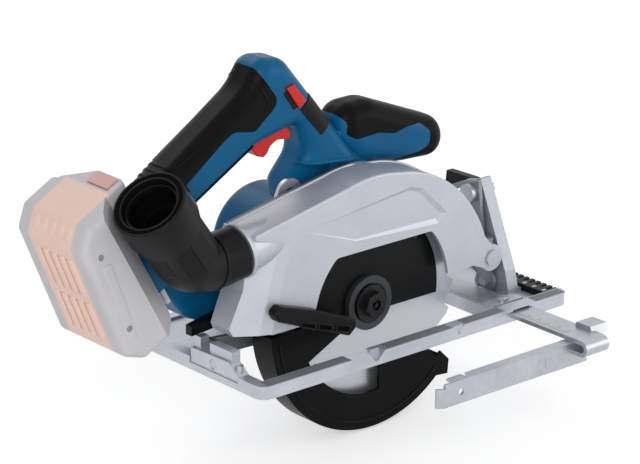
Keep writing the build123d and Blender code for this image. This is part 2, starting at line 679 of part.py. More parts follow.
def lower_guard():
    ax, az = ARBOR
    shell = sector(ARBOR, LOWER_R, GUARD_START, GUARD_END)
    nose = polar(ARBOR, LOWER_R, GUARD_END)
    lip = polygon([(nose[0] - 12, nose[1] + 2), (nose[0] - 4, nose[1] + 10), (nose[0] + 4, nose[1] + 2),
        (nose[0] + 3, nose[1] - 9), (nose[0] - 8, nose[1] - 8)])
    shell += lip
    body = slab_y(shell, LOWER_NEAR, LOWER_FAR)
    body += rod_y(ax, az, HUB_R + 9, LOWER_FAR_IN, LOWER_FAR)
    body -= slab_y(disc(ax, az, LOWER_IN_R), LOWER_NEAR_IN, LOWER_FAR_IN)
    # the near wall is open in the middle, between a rear arm and a front cheek
    inner = LOWER_IN_R - 25
    near_open = disc(ax, az, inner)
    rear_arm = sector(ARBOR, inner + 5, GUARD_START, GUARD_START + 24)
    near_open -= rear_arm
    near_open += disc(ax, az, 27)
    cheek = polygon([(ax + 6, az - 47), (ax + inner + 30, az - 47), (ax + inner + 30, az - 120),
        (ax + 6, az - 120)])
    near_open -= cheek
    body -= slab_y(near_open, LOWER_NEAR - 1, LOWER_NEAR_IN + 0.5)
    upper = polygon([(ax + 6, az), (ax + 6, az - 47), (ax + LOWER_R + 20, az - 49),
        (ax + LOWER_R + 20, az)])
    body -= slab_y(upper, LOWER_NEAR - 1, LOWER_NEAR_IN + 0.5)
    body -= rod_y(ax, az, HUB_R + RUN_GAP, LOWER_FAR_IN - 1, LOWER_FAR + 1)
    # spacer boss that carries the lever in front of the upper guard
    boss = polar(ARBOR, LEVER_ROOT_R, LEVER_ANGLE)
    body += rod_y(*boss, 6, UPPER_NEAR - MOVE_GAP * 2, LOWER_NEAR_IN)
    return body - rod_y(*boss, 1.8, UPPER_NEAR - 20, LOWER_NEAR_IN - 0.5)


LEVER_ROOT_R = 36
LEVER_ANGLE = GUARD_START + 8


def lower_guard_lever():
    ax, az = ARBOR
    y1 = UPPER_NEAR - MOVE_GAP * 2
    y0 = y1 - LEVER_T
    outline = rounded([
        (ax - 27, az - 7, 3), (ax - 33, az - 12, 3), (ax - 55, az - 3, 12),
        (ax - LEVER_REACH + 6, az + 14, 3),
        (ax - LEVER_REACH + 2, az + 21, 3), (ax - LEVER_REACH + 8, az + 25, 3), (ax - 62, az + 14, 20),
        (ax - 27, az - 1, 4),
    ])
    body = slab_y(outline, y0, y1)
    body = chamfer(body.faces().sort_by(Axis.Y)[0].edges(), 1.2)
    boss = polar(ARBOR, LEVER_ROOT_R, LEVER_ANGLE)
    body -= rod_y(*boss, 1.8, y0 - 1, y1 + 1)
    body -= rod_y(*boss, 3.6, y0 - 1, y0 + 2.4)
    return body


def lever_screw():
    boss = polar(ARBOR, LEVER_ROOT_R, LEVER_ANGLE)
    y0 = UPPER_NEAR - MOVE_GAP * 2 - LEVER_T
    return screw((boss[0], y0 + 0.2, boss[1]), (boss[0], LOWER_NEAR_IN - 0.6, boss[1]), 3.5, 1.7, 2.2)


def guard_spring():
    """Torsion spring of the lower guard, wound round the gear case boss."""
    wire = 0.8
    turns = 1.5
    pitch = 2.1
    radius = HUB_R + 2.4
    start_y = UPPER_FAR_IN - 0.6 - wire
    path = Helix(pitch=pitch, height=pitch * turns, radius=radius)
    section = Plane(origin=path @ 0, z_dir=path % 0) * Circle(wire)
    coil = sweep(section, path=path)
    print("guard spring gap between turns", pitch - 2 * wire)
    return Pos(ARBOR_X, start_y, ARBOR_Z) * (Rot(90, 0, 0) * coil)


# Spindle

def gear_face(teeth, phase):
    """Spur gear outline: straight-flanked teeth, slim enough to run with backlash."""
    pitch_r = GEAR_MODULE * teeth / 2
    tip_r = pitch_r + 0.75 * GEAR_MODULE
    root_r = pitch_r - 1.15 * GEAR_MODULE
    points = []
    for i in range(teeth):
        centre = phase + 360 / teeth * i
        for radius, share in ((root_r, -0.24), (tip_r, -0.1), (tip_r, 0.1), (root_r, 0.24)):
            points.append(polar((0, 0), radius, centre + 360 / teeth * share))
    return polygon(points)


GEAR_Y = UPPER_FAR + 19


def arbor():
    ax, az = ARBOR
    body = rod_y(ax, az, BLADE_BORE / 2 - RUN_GAP, BLADE_Y - BLADE_T / 2, INNER_FLANGE_Y - 1.5)
    body += rod_y(ax, az, ARBOR_D / 2, INNER_FLANGE_Y - 2, GEAR_BACK_Y - 2.5)
    return body - rod_y(ax, az, BOLT_D / 2, BLADE_Y - 10, BLADE_Y + 16)


def inner_flange():
    ax, az = ARBOR
    y0 = BLADE_Y + BLADE_T / 2
    body = rod_y(ax, az, FLANGE_D / 2, y0, INNER_FLANGE_Y)
    body -= rod_y(ax, az, BLADE_BORE / 2 - RUN_GAP, y0 - 1, INNER_FLANGE_Y - 1.5)
    return body - rod_y(ax, az, ARBOR_D / 2, y0, INNER_FLANGE_Y + 1)


def saw_blade():
    radius = BLADE_D / 2
    points = []
    for i in range(BLADE_TEETH):
        a = 360 / BLADE_TEETH * i
        step = 360 / BLADE_TEETH
        for r, share in ((radius - TOOTH_H, 0.0), (radius, 0.12), (radius - 0.8, 0.34),
            (radius - TOOTH_H, 0.72), (radius - TOOTH_H - 1, 0.9)):
            points.append(polar(ARBOR, r, -(a + step * share)))
    face = polygon(points) - disc(*ARBOR, BLADE_BORE / 2)
    for i in range(4):
        a = 90 * i + 38
        slot_in = polar(ARBOR, radius - 22, a)
        slot_out = polar(ARBOR, radius + 2, a + 4)
        side = polar((0, 0), 0.6, a + 92)
        face -= polygon([
            (slot_in[0] + side[0], slot_in[1] + side[1]), (slot_out[0] + side[0], slot_out[1] + side[1]),
            (slot_out[0] - side[0], slot_out[1] - side[1]), (slot_in[0] - side[0], slot_in[1] - side[1]),
        ])
        face -= disc(*slot_in, 2)
    return slab_y(face, BLADE_Y - BLADE_T / 2, BLADE_Y + BLADE_T / 2)


def outer_flange():
    ax, az = ARBOR
    y1 = BLADE_Y - BLADE_T / 2
    body = rod_y(ax, az, FLANGE_D / 2, y1 - OUTER_FLANGE_T, y1)
    body -= rod_y(ax, az, FLANGE_D / 2 - 5, y1 - OUTER_FLANGE_T - 1, y1 - OUTER_FLANGE_T + 1.2)
    return body - rod_y(ax, az, BOLT_D / 2 + RUN_GAP, y1 - 10, y1 + 1)


def blade_bolt():
    ax, az = ARBOR
    seat = BLADE_Y - BLADE_T / 2 - OUTER_FLANGE_T + 1.2
    head = rod_y(ax, az, BOLT_HEAD_D / 2 + 4, seat - 2.4, seat)
    hexagon = plane_y(seat - 2.4) * (Pos(ax, az) * RegularPolygon(BOLT_HEAD_D / 2, 6, rotation=12))
    head += extrude(hexagon, amount=BOLT_HEAD_T - 2.4)
    head -= rod_y(ax, az, 4, seat - BOLT_HEAD_T - 1, seat - BOLT_HEAD_T + 2.5)
    head += rod_y(ax, az, 1.4, seat - BOLT_HEAD_T, seat - BOLT_HEAD_T + 3)
    return head + rod_y(ax, az, BOLT_D / 2, seat - 1, BLADE_Y + 14)


def drive_gear():
    ax, az = ARBOR
    gear = extrude(plane_y(GEAR_Y) * (Pos(ax, az) * gear_face(GEAR_TEETH, GEAR_LINE_ANGLE)),
        amount=GEAR_W)
    return gear - rod_y(ax, az, ARBOR_D / 2, GEAR_Y - GEAR_W - 1, GEAR_Y + 1)


# Gear case and motor

CASE_R = GEAR_MODULE * (GEAR_TEETH / 2 + 0.75) + 1.4
BEARING_Y = HUB_END_Y + 3
CASE_TOP = MOTOR_Z + 38


def ring_y(x, z, outer, inner, y0, y1):
    """Plain ring along Y."""
    return rod_y(x, z, outer, y0, y1) - rod_y(x, z, inner, y0 - 1, y1 + 1)


def gear_case():
    ax, az = ARBOR
    mx, mz = MOTOR
    wall = 2.4
    outer = disc(ax, az, CASE_R + wall) + polygon([
        (ax - CASE_R - wall, az), (ax + CASE_R + wall, az), (ax + CASE_R + wall, CASE_TOP),
        (mx - 26, CASE_TOP), (mx - 26, mz - 8),
    ])
    body = slab_y(outer, UPPER_FAR, GEAR_BACK_Y)
    body += rod_y(ax, az, HUB_R, HUB_END_Y, UPPER_FAR + 1)
    body += rod_y(mx, mz, MOTOR_R, GEAR_BACK_Y, MOTOR_FRONT_Y)
    lug = polygon([(BOLT_X - 9, BOLT_Z - 9), (mx - 20, az - 8), (mx - 20, mz - 2),
        (BOLT_X - 9, BOLT_Z + 9)])
    body += slab_y(lug, LUG_Y, LUG_Y + 4)
    hollow = disc(ax, az, CASE_R) + disc(mx, mz, 11)
    body -= slab_y(hollow, GEAR_Y - GEAR_W - 2, GEAR_Y + 2)
    body -= rod_y(ax, az, ARBOR_D / 2 + 1, HUB_END_Y - 1, GEAR_Y)
    body -= rod_y(ax, az, ARBOR_BEARING_D / 2, BEARING_Y, BEARING_Y + ARBOR_BEARING_T)
    body -= rod_y(ax, az, ARBOR_BEARING_D / 2 - 3, HUB_END_Y - 1, BEARING_Y + 1)
    body -= rod_y(ax, az, 13, GEAR_Y, GEAR_BACK_Y - 2)
    body -= rod_y(mx, mz, SHAFT_D / 2 + 1, GEAR_Y, MOTOR_FRONT_Y + 1)
    body -= rod_y(mx, mz, MOTOR_BEARING_D / 2, MOTOR_FRONT_Y - MOTOR_BEARING_T, MOTOR_FRONT_Y + 1)
    body -= rod_y(BOLT_X, BOLT_Z, CLAMP_BOLT_D / 2, LUG_Y - 1, LUG_Y + 5)
    for x, z in GUARD_SCREW_SPOTS:
        body -= rod_y(x, z, 2.2, UPPER_FAR - 1, UPPER_FAR + 6)
    return body - lock_hole()


def arbor_bearing():
    return ring_y(*ARBOR, ARBOR_BEARING_D / 2, ARBOR_D / 2 + RUN_GAP, BEARING_Y,
        BEARING_Y + ARBOR_BEARING_T)


def arbor_end_bearing():
    return ring_y(*ARBOR, 13, ARBOR_D / 2 + RUN_GAP, GEAR_Y + 2.2, GEAR_BACK_Y - 2)


LOCK_Y = UPPER_FAR + 5
LOCK_START = CASE_R + 9


def lock_line(distance):
    """Point on the spindle lock's axis, counted out from the arbor."""
    x, z = polar(ARBOR, distance, 42)
    return (x, LOCK_Y, z)


def lock_hole():
    return rod(lock_line(ARBOR_D / 2 + 2), lock_line(LOCK_START + 40), LOCK_PIN_R + RUN_GAP)


def spindle_lock():
    head = LOCK_START + LOCK_HEAD_OUT
    pin = rod(lock_line(ARBOR_D / 2 + 7), lock_line(head), LOCK_PIN_R)
    return pin + rod(lock_line(head), lock_line(head + LOCK_HEAD_L), LOCK_PIN_R + 2.1)


def motor_housing():
    mx, mz = MOTOR
    body = ring_y(mx, mz, MOTOR_R, MOTOR_R - MOTOR_WALL, MOTOR_FRONT_Y, MOTOR_END_Y)
    for a in range(-60, 61, 15):
        x, z = polar(MOTOR, MOTOR_R, a - 30)
        body -= Pos(x, MOTOR_FRONT_Y + 12, z) * (Rot(0, 30 - a, 0) * Box(12, 12, 3))
    return body


CAP_SCREW_SPOTS = [polar(MOTOR, MOTOR_R - 9, a) for a in (45, 135, 225, 315)]


def motor_end_cap():
    mx, mz = MOTOR
    body = rod_y(mx, mz, MOTOR_R, MOTOR_END_Y, CAP_END_Y)
    body = fillet(body.faces().sort_by(Axis.Y)[-1].edges(), 8)
    body -= rod_y(mx, mz, MOTOR_R - MOTOR_WALL, MOTOR_END_Y - 1, MOTOR_END_Y + 3)
    body -= rod_y(mx, mz, MOTOR_BEARING_D / 2, MOTOR_END_Y - 1, MOTOR_END_Y + 3 + MOTOR_BEARING_T)
    for i in range(9):
        x, z = polar(MOTOR, 23, 40 * i)
        body -= Pos(x, CAP_END_Y, z) * (Rot(0, -40 * i, 0) * Box(14, 24, 3.2))
    for x, z in CAP_SCREW_SPOTS:
        body -= rod_y(x, z, 4, CAP_END_Y - 4, CAP_END_Y + 1) + rod_y(x, z, 2, MOTOR_END_Y, CAP_END_Y)
    return body


def motor_screws():
    return [screw((x, CAP_END_Y - 1.6, z), (x, MOTOR_END_Y + 4, z), 3.9, 1.9, 2.4) for x,
        z in CAP_SCREW_SPOTS]


STATOR_Y = MOTOR_FRONT_Y + 6


def stator():
    mx, mz = MOTOR
    body = ring_y(mx, mz, MOTOR_R - MOTOR_WALL, MOTOR_R - MOTOR_WALL - 5, STATOR_Y, STATOR_Y + STATOR_L)
    for i in range(6):
        tooth = box(ROTOR_R + AIR_GAP, MOTOR_R - MOTOR_WALL - 3, STATOR_Y, STATOR_Y + STATOR_L, -5, 5)
        body += Pos(mx, 0, mz) * (Rot(0, 60 * i, 0) * tooth)
    return body - rod_y(mx, mz, ROTOR_R + AIR_GAP, STATOR_Y - 1, STATOR_Y + STATOR_L + 1)


def motor_shaft():
    mx, mz = MOTOR
    end = MOTOR_END_Y + 3 + MOTOR_BEARING_T - 1
    body = rod_y(mx, mz, SHAFT_D / 2, GEAR_Y - 0.5, end)
    phase = GEAR_LINE_ANGLE + 180 + 180 / PINION_TEETH
    pinion = extrude(plane_y(GEAR_Y) * (Pos(mx, mz) * gear_face(PINION_TEETH, phase)), amount=GEAR_W)
    return body + pinion


def rotor_core():
    return ring_y(*MOTOR, ROTOR_R, SHAFT_D / 2, STATOR_Y, STATOR_Y + STATOR_L)


def motor_fan():
    mx, mz = MOTOR
    y0 = STATOR_Y + STATOR_L + 1.5
    body = rod_y(mx, mz, FAN_R, y0, y0 + 1.6)
    for i in range(11):
        vane = box(10, FAN_R - 1, y0, y0 + 6.5, -0.7, 0.7)
        body += Pos(mx, 0, mz) * (Rot(0, 360 / 11 * i, 0) * vane)
    body += rod_y(mx, mz, 10.5, y0, y0 + 5)
    return body - rod_y(mx, mz, SHAFT_D / 2, y0 - 1, y0 + 8)


def motor_bearings():
    front = ring_y(*MOTOR, MOTOR_BEARING_D / 2, SHAFT_D / 2 + RUN_GAP, MOTOR_FRONT_Y - MOTOR_BEARING_T,
        MOTOR_FRONT_Y)
    start = MOTOR_END_Y + 3
    rear = ring_y(*MOTOR, MOTOR_BEARING_D / 2, SHAFT_D / 2 + RUN_GAP, start, start + MOTOR_BEARING_T)
    return [front, rear]


def depth_bolt():
    body = rod_y(BOLT_X, BOLT_Z, 7.5, UPPER_FAR + 0.6, GUIDE_Y - 0.4)
    return body + rod_y(BOLT_X, BOLT_Z, CLAMP_BOLT_D / 2, GUIDE_Y - 0.5, LUG_Y + 13)


def depth_lever():
    y0 = LUG_Y + 4.4
    hub = disc(BOLT_X, BOLT_Z, 9)
    arm = polygon([
        (BOLT_X, BOLT_Z + 8), (BOLT_X - 40, BOLT_Z + 7), (BOLT_X - 66, BOLT_Z + 2),
        (BOLT_X - 66, BOLT_Z - 5),
        (BOLT_X - 40, BOLT_Z - 3), (BOLT_X, BOLT_Z - 8),
    ])
    body = slab_y(hub + arm, y0, y0 + 6.5)
    return body - rod_y(BOLT_X, BOLT_Z, CLAMP_BOLT_D / 2 + RUN_GAP, y0 - 1, y0 + 9)


# Handle

HANDLE = [
    (-193, 129, 12), (-178, 140, 14), (-98.3, 192.7, 40), (-85, 212, 12.5), (-64, 209, 16), (4, 124, 30),
    (17, 104, 14),
    (17, CASE_TOP, 11.5), (-47, CASE_TOP, 11.5), (-66, 113, 14), (-45, 137, 12), (-52, 160, 6),
    (-89, 151.5, 14), (-150, 116, 12), (-166, 103, 12.5),
]


def handle_solid(inset):
    """Handle outline with every side moved in by inset, rounded along both edges."""
    face = rounded(HANDLE)
    if inset:
        face = offset(face, amount=-inset, kind=Kind.INTERSECTION)
    half = HANDLE_W / 2 - inset
    body = slab_y(face, HANDLE_Y - half, HANDLE_Y + half)
    sides = body.faces().filter_by(Axis.Y)
    return fillet(sides.edges(), max(HANDLE_ROUND - inset, 2))


GRIP_PATCH = [
    (-168, 128, 2), (-178, 152, 2), (-125, 215, 2), (-93, 215, 2), (-86, 200, 12), (-73, 182, 6),
    (-78, 176, 5), (-94, 163.5, 6), (-112, 167, 8), (-120, 163, 8),
]


def trigger_frame(along, out):
    """Point in the trigger's frame: along the grip, out below the grip's underside."""
    ux, uz = GRIP_DIR
    return (-72 + along * ux + out * uz, 152 + along * uz - out * ux)


def trigger_face(grow):
    corners = [(-17, -12, 1.5), (-16, 2, 2), (-12, 7, 2), (-8.5, 7, 1.5), (-3, 4.4, 5), (4, 5, 6),
        (12, 12, 1.5), (15, 9.5, 2), (16, -2, 3), (15, -12, 1.5)]
    face = rounded([trigger_frame(a, b) + (r,) for a, b, r in corners])
    return offset(face, amount=grow) if grow else face


def trigger_sweep():
    """Space that the trigger needs over its travel."""
    half = TRIGGER_W / 2 + MOVE_GAP
    ux, uz = GRIP_DIR
    body = slab_y(trigger_face(MOVE_GAP), HANDLE_Y - half, HANDLE_Y + half)
    for share in (0.34, 0.67, 1):
        push = (TRIGGER_TRAVEL + MOVE_GAP) * share
        body += Pos(-uz * push, 0, ux * push) * slab_y(trigger_face(MOVE_GAP), HANDLE_Y - half,
            HANDLE_Y + half)
    return body


def trigger():
    half = TRIGGER_W / 2
    body = slab_y(trigger_face(0), HANDLE_Y - half, HANDLE_Y + half)
    outer = [e for e in body.edges().filter_by(Axis.Y, reverse=True)]
    return chamfer(outer, 0.8)


LOCK_CORNERS = [(-67, 189.5), (-60.5, 191), (-49.5, 177.5), (-55.5, 173)]
LOCK_FACE_Y = HANDLE_Y - HANDLE_W / 2


def lock_off_button():
    return slab_y(polygon(LOCK_CORNERS), LOCK_FACE_Y - 9, LOCK_FACE_Y + 8) & handle_solid(-1.5)


def lock_pocket():
    face = offset(polygon(LOCK_CORNERS), amount=MOVE_GAP)
    return slab_y(face, LOCK_FACE_Y - 5, LOCK_FACE_Y + 8 + LOCK_TRAVEL + MOVE_GAP)


PANEL_CORNERS = [(-54.2, 171.3), (-42.5, 180), (-25, 157.1), (-35.5, 149.5)]


def side_panel():
    return slab_y(polygon(PANEL_CORNERS), LOCK_FACE_Y - 9, LOCK_FACE_Y + 6) & handle_solid(-0.8)


HANDLE_SCREW_SPOTS = [(-160, 121), (-118, 150), (-70, 197), (-36, 146), (-30, 108), (2, 106)]


def handle_screws():
    far = HANDLE_Y + HANDLE_W / 2
    return [screw((x, far - 1.5, z), (x, HANDLE_Y - 5, z), 3.6, 1.8, 2.4) for x, z in HANDLE_SCREW_SPOTS]


def screw_holes():
    far = HANDLE_Y + HANDLE_W / 2
    wide = [rod_y(x, z, 3.7, far - 4, far + 6) for x, z in HANDLE_SCREW_SPOTS]
    slim = [rod_y(x, z, 1.85, HANDLE_Y - 5.2, far) for x, z in HANDLE_SCREW_SPOTS]
    return wide + slim


STEP_LINE = [(-90, 131), (-50, 130), (30, 121)]


def post_step(grow):
    """Space beside the foot of the post, where the depth guide and the upper guard stand."""
    line = [(x, z + grow) for x, z in STEP_LINE]
    return slab_y(polygon(line + [(30, 60), (-90, 60)]), -60, GUIDE_Y + PLATE_T + 1 + grow)


def handle_pieces():
    """Two shell halves and the soft cover let into them."""
    outer = handle_solid(0)
    patch = slab_y(rounded(GRIP_PATCH), -60, 60)
    cover = (outer - handle_solid(OVERMOULD_T)) & patch
    outer -= post_step(0)
    shell = outer - cover - (handle_solid(SHELL_T) - post_step(2.5))
    pocket = slab_y(polygon(PANEL_CORNERS), LOCK_FACE_Y - 9, LOCK_FACE_Y + 6)
    posts = [rod_y(x, z, 3.6, HANDLE_Y - HANDLE_W / 2 + 3, HANDLE_Y + HANDLE_W / 2 - 3) for x,
        z in HANDLE_SCREW_SPOTS]
    for post in posts:
        shell += (post & outer) - cover
    shell = shell - trigger_sweep() - lock_pocket() - pocket
    for hole in screw_holes():
        shell -= hole
    near = shell & box(-300, 100, -80, HANDLE_Y, -50, 300)
    far = shell & box(-300, 100, HANDLE_Y, 80, -50, 300)
    return near, far, cover, outer


def switch_module():
    ux, uz = GRIP_DIR
    place = Plane(origin=(-99, HANDLE_Y, 165), x_dir=(ux, 0, uz), z_dir=(0, -1, 0))
    return place * Box(30, 11, 17)


# Front handle

AUX = [(-13, 163, 15), (16, 163.5, 26), (88, 134, 17), (83, 108, 14), (46, 110, 40), (6, 118, 30),
    (-15, 138, 14)]


def aux_solid(inset):
    face = rounded(AUX)
    if inset:
        face = offset(face, amount=-inset, kind=Kind.INTERSECTION)
    half = AUX_W / 2 - inset
    body = slab_y(face, AUX_Y - half, AUX_Y + half)
    return fillet(body.faces().filter_by(Axis.Y).edges(), AUX_ROUND - inset)


def aux_pieces(handle):
    outer = aux_solid(0)
    neck = slab_y(polygon([(-22, 116), (20, 112), (20, 140), (-22, 148)]), HANDLE_Y - 11, HANDLE_Y + 11)
    body = outer + neck - handle
    body -= slab_y(guard_face(0.4), UPPER_NEAR - 5, UPPER_FAR + 0.4)
    top = rounded([
        (-13, 190, 2), (-13, 158, 2), (-8, 151, 3), (-9, 143, 2), (-1, 138.5, 5), (19, 139.5, 8),
        (34, 136, 8), (46, 138.5, 6), (59, 138.5, 5), (68, 131, 5), (67.5, 121, 5), (58, 117, 4),
        (36, 115, 3), (28, 95, 2), (120, 90, 2), (120, 190, 2),
    ])
    cover = (body - aux_solid(OVERMOULD_T)) & slab_y(top, -60, 60)
    return body - cover, cover


# Rear housing and battery

def slide_point(u, v):
    """Point in X and Z from the slide frame: u down the slide, v towards the saw."""
    a = radians(SLIDE_ANGLE)
    return (u * sin(a) + v * cos(a), -u * cos(a) + v * sin(a))


def slide_box(u0, u1, v0, v1, y0, y1):
    """Block in the slide frame."""
    return slab_y(polygon([slide_point(u0, v0), slide_point(u1, v0), slide_point(u1, v1),
        slide_point(u0, v1)]), y0, y1)


FOOT_END_U = FOOT_TOP_U + FOOT_L
RAIL_Y0 = RAIL_Y - RAIL_W / 2
RAIL_Y1 = RAIL_Y + RAIL_W / 2
HOUSING_Y0 = LUG_Y + 13.4
HOUSING_Y1 = MOTOR_FRONT_Y + 11


def rear_housing(handle, case):
    outline = rounded([
        (MOTOR_X - 24, 14, 4), (-97, 14, 10), (-137, 32, 14), slide_point(FOOT_END_U, FOOT_V) + (4,),
        slide_point(FOOT_TOP_U, FOOT_V) + (4,), slide_point(FOOT_TOP_U, FOOT_V + FOOT_T) + (4,),
        (-146, 92, 14), (-116, 80, 16), (-62, 79, 8), (MOTOR_X - 24, 84, 4),
    ])
    body = slab_y(outline, HOUSING_Y0, HOUSING_Y1)
    body = fillet(body.faces().filter_by(Axis.Y).edges(), 3)
    body += slide_box(FOOT_TOP_U, FOOT_END_U, FOOT_V, FOOT_V + FOOT_T, RAIL_Y0 - 3.6, RAIL_Y1 + 3.6)
    body -= slab_y(disc(*MOTOR, MOTOR_R), GEAR_BACK_Y, CAP_END_Y)
    body -= handle
    body -= case
    body -= box(-130, -72, HOUSING_Y0 + 3, HOUSING_Y1 - 3, 30, 74)
    for side, y0, y1 in ((1, RAIL_Y0 - 3.6, RAIL_Y0 - 0.4), (-1, RAIL_Y1 + 0.4, RAIL_Y1 + 3.6)):
        body += slide_box(FOOT_TOP_U, FOOT_END_U, FOOT_V - 7, FOOT_V + 1, y0, y1)
        lip_a = y1 if side > 0 else y0 - RAIL_LIP
        body += slide_box(FOOT_TOP_U, FOOT_END_U, FOOT_V - 7, FOOT_V - 4.6, lip_a, lip_a + RAIL_LIP)
    return body


def controller():
    return box(-126, -76, HOUSING_Y0 + 3.4, HOUSING_Y1 - 3.4, 34, 70)


def terminal_block():
    return slide_box(FOOT_TOP_U + 14, FOOT_END_U - 8, FOOT_V - 6, FOOT_V, RAIL_Y - 5, RAIL_Y + 5)


BATTERY_V1 = FOOT_V - RAIL_H_V - 0.5
BATTERY_V0 = BATTERY_V1 - BATTERY_T
BATTERY_END_U = BATTERY_TOP_U + BATTERY_L


def battery_outline():
    """Battery side outline: chamfered block, slimmer at the lower end."""
    corners = [
        (BATTERY_TOP_U, BATTERY_V0 + 22, 6), (BATTERY_TOP_U + 12, BATTERY_V0 + 9, 8),
        (BATTERY_END_U - 13, BATTERY_V0, 8),
        (BATTERY_END_U, BATTERY_V0 + 13, 6), (BATTERY_END_U, BATTERY_V1, 4),
        (BATTERY_TOP_U, BATTERY_V1, 4),
    ]
    return rounded([slide_point(u, v) + (r,) for u, v, r in corners])


def cover_zone():
    """Part of the battery's rear face and top that belongs to its cover."""
    corners = [
        (BATTERY_TOP_U - 5, BATTERY_V0 - 20), (BATTERY_TOP_U - 5, BATTERY_V1 + 1.5),
        (BATTERY_TOP_U + 3, BATTERY_V1 + 1.5), (BATTERY_TOP_U + 3, BATTERY_V0 + 24),
        (BATTERY_TOP_U + 14, BATTERY_V0 + 11), (BATTERY_END_U - 14, BATTERY_V0 + 2.3),
        (BATTERY_END_U - 8, BATTERY_V0 + 8), (BATTERY_END_U - 8, BATTERY_V0 - 20),
    ]
    face = polygon([slide_point(u, v) for u, v in corners])
    return slab_y(face, BATTERY_Y - COVER_NEAR, BATTERY_Y + COVER_FAR)


def corner_cut(near, size):
    """Wedge off the near front edge, beside the dust elbow."""
    x, z = slide_point(BATTERY_TOP_U - 5, BATTERY_V1)
    a = radians(SLIDE_ANGLE)
    place = Plane(origin=(x, near, z), x_dir=(cos(a), 0, sin(a)), z_dir=(sin(a), 0, -cos(a)))
    return extrude(place * (Rot(0, 0, 45) * Rectangle(size, size)), amount=BATTERY_L + 10)


def battery_shoulder():
    """Front of the battery's top, which reaches forward above the foot."""
    x, z = slide_point(BATTERY_TOP_U, BATTERY_V1)
    a = radians(SLIDE_ANGLE)
    place = Plane(origin=(x, BATTERY_Y, z), x_dir=(cos(a), 0, sin(a)), z_dir=(sin(a), 0, -cos(a)))
    face = rounded([(-12, 22, 3.5), (SHOULDER_V, 22, 5), (SHOULDER_V, -6, 9), (1, -32, 5), (-12, -32, 3.5)])
    body = extrude(place * face, amount=SHOULDER_L)
    top = body.faces().sort_by(Axis((0, 0, 0), (sin(a), 0, -cos(a))))[0]
    return fillet(top.edges(), 3)


def battery_pieces():
    half = BATTERY_W / 2
    body = slab_y(battery_outline(), BATTERY_Y - half, BATTERY_Y + half)
    body = fillet(body.faces().filter_by(Axis.Y).edges(), 5)
    body -= corner_cut(BATTERY_Y - half, CORNER_CUT)
    body += battery_shoulder()
    hollow = slide_box(
        BATTERY_TOP_U + 30, BATTERY_END_U - 10, BATTERY_V0 + 10.8, BATTERY_V1 - 4, BATTERY_Y - half + 4,
        BATTERY_Y + half - 4
    )
    body -= hollow - corner_cut(BATTERY_Y - half, CORNER_CUT + 8)
    rails = slide_box(FOOT_TOP_U - 4, BATTERY_END_U - 2, BATTERY_V1 - 1, FOOT_V - 0.5, RAIL_Y0, RAIL_Y1)
    groove0 = slide_box(FOOT_TOP_U - 5, BATTERY_END_U, FOOT_V - 8, FOOT_V - 3.6, RAIL_Y0 - 1,
        RAIL_Y0 + RAIL_LIP + 0.6)
    groove1 = slide_box(FOOT_TOP_U - 5, BATTERY_END_U, FOOT_V - 8, FOOT_V - 3.6,
        RAIL_Y1 - RAIL_LIP - 0.6, RAIL_Y1 + 1)
    slot = slide_box(FOOT_TOP_U + 12, BATTERY_END_U, FOOT_V - 7, FOOT_V + 1, RAIL_Y - 5.6, RAIL_Y + 5.6)
    rails = rails - groove0 - groove1 - slot
    body += rails
    reach = BUTTON_W / 2 + MOVE_GAP
    body -= slide_box(
        BATTERY_TOP_U - 1, BATTERY_TOP_U + 14, BATTERY_V1 + 4 - MOVE_GAP, BATTERY_V1 + 13.5 + MOVE_GAP,
        BUTTON_Y - reach, BUTTON_Y + reach,
    )
    zone = cover_zone()
    return body - zone, body & zone


def battery_button():
    return slide_box(BATTERY_TOP_U - 1.5, BATTERY_TOP_U + 14 - BUTTON_TRAVEL - MOVE_GAP, BATTERY_V1 + 4,
        BATTERY_V1 + 13.5, BUTTON_Y - BUTTON_W / 2, BUTTON_Y + BUTTON_W / 2)


def battery_cells():
    """Five cells that lie along the slide, three behind and two in the gaps before them."""
    pitch = CELL_D + 0.6
    back = BATTERY_V0 + 11.3 + CELL_D / 2
    front = back + pitch * cos(radians(30))
    cells = []
    for v, step in ((back, -1), (back, 0), (back, 1), (front, -0.5), (front, 0.5)):
        y = BATTERY_Y + step * pitch
        x0, z0 = slide_point(BATTERY_TOP_U + 32.5, v)
        x1, z1 = slide_point(BATTERY_END_U - 12.5, v)
        cells.append(rod((x0, y, z0), (x1, y, z1), CELL_D / 2))
    return cells


# Parallel guide

ARM_Z = SOLE_T


def guide_arm():
    """Flat bar whose near end rolls over and runs back to the fence."""
    roll_y = FENCE_Y - ROLL_REACH
    roll_z = ARM_Z + ARM_T - ROLL_R
    x0 = ARM_X - ARM_W / 2
    x1 = ARM_X + ARM_W / 2
    body = box(x0, x1, roll_y, ARM_INNER_Y, ARM_Z, ARM_Z + ARM_T)
    roll = rod_x(roll_y, roll_z, ROLL_R, x0, x1) - rod_x(roll_y, roll_z, ROLL_R - ARM_T, x0 - 1, x1 + 1)
    body += roll - box(x0 - 1, x1 + 1, roll_y, roll_y + 2 * ROLL_R, roll_z - 2 * ROLL_R,
        roll_z + 2 * ROLL_R)
    body += box(x0, x1, roll_y, FENCE_Y, roll_z - ROLL_R, roll_z - ROLL_R + ARM_T)
    block = [(FENCE_Y + 1, ARM_Z), (FENCE_Y + 19, ARM_Z), (FENCE_Y + 17, ARM_Z + 6),
        (FENCE_Y + 3, ARM_Z + 6)]
    return body + slab_x(polygon(block), x1 - 3, x1 + 13)


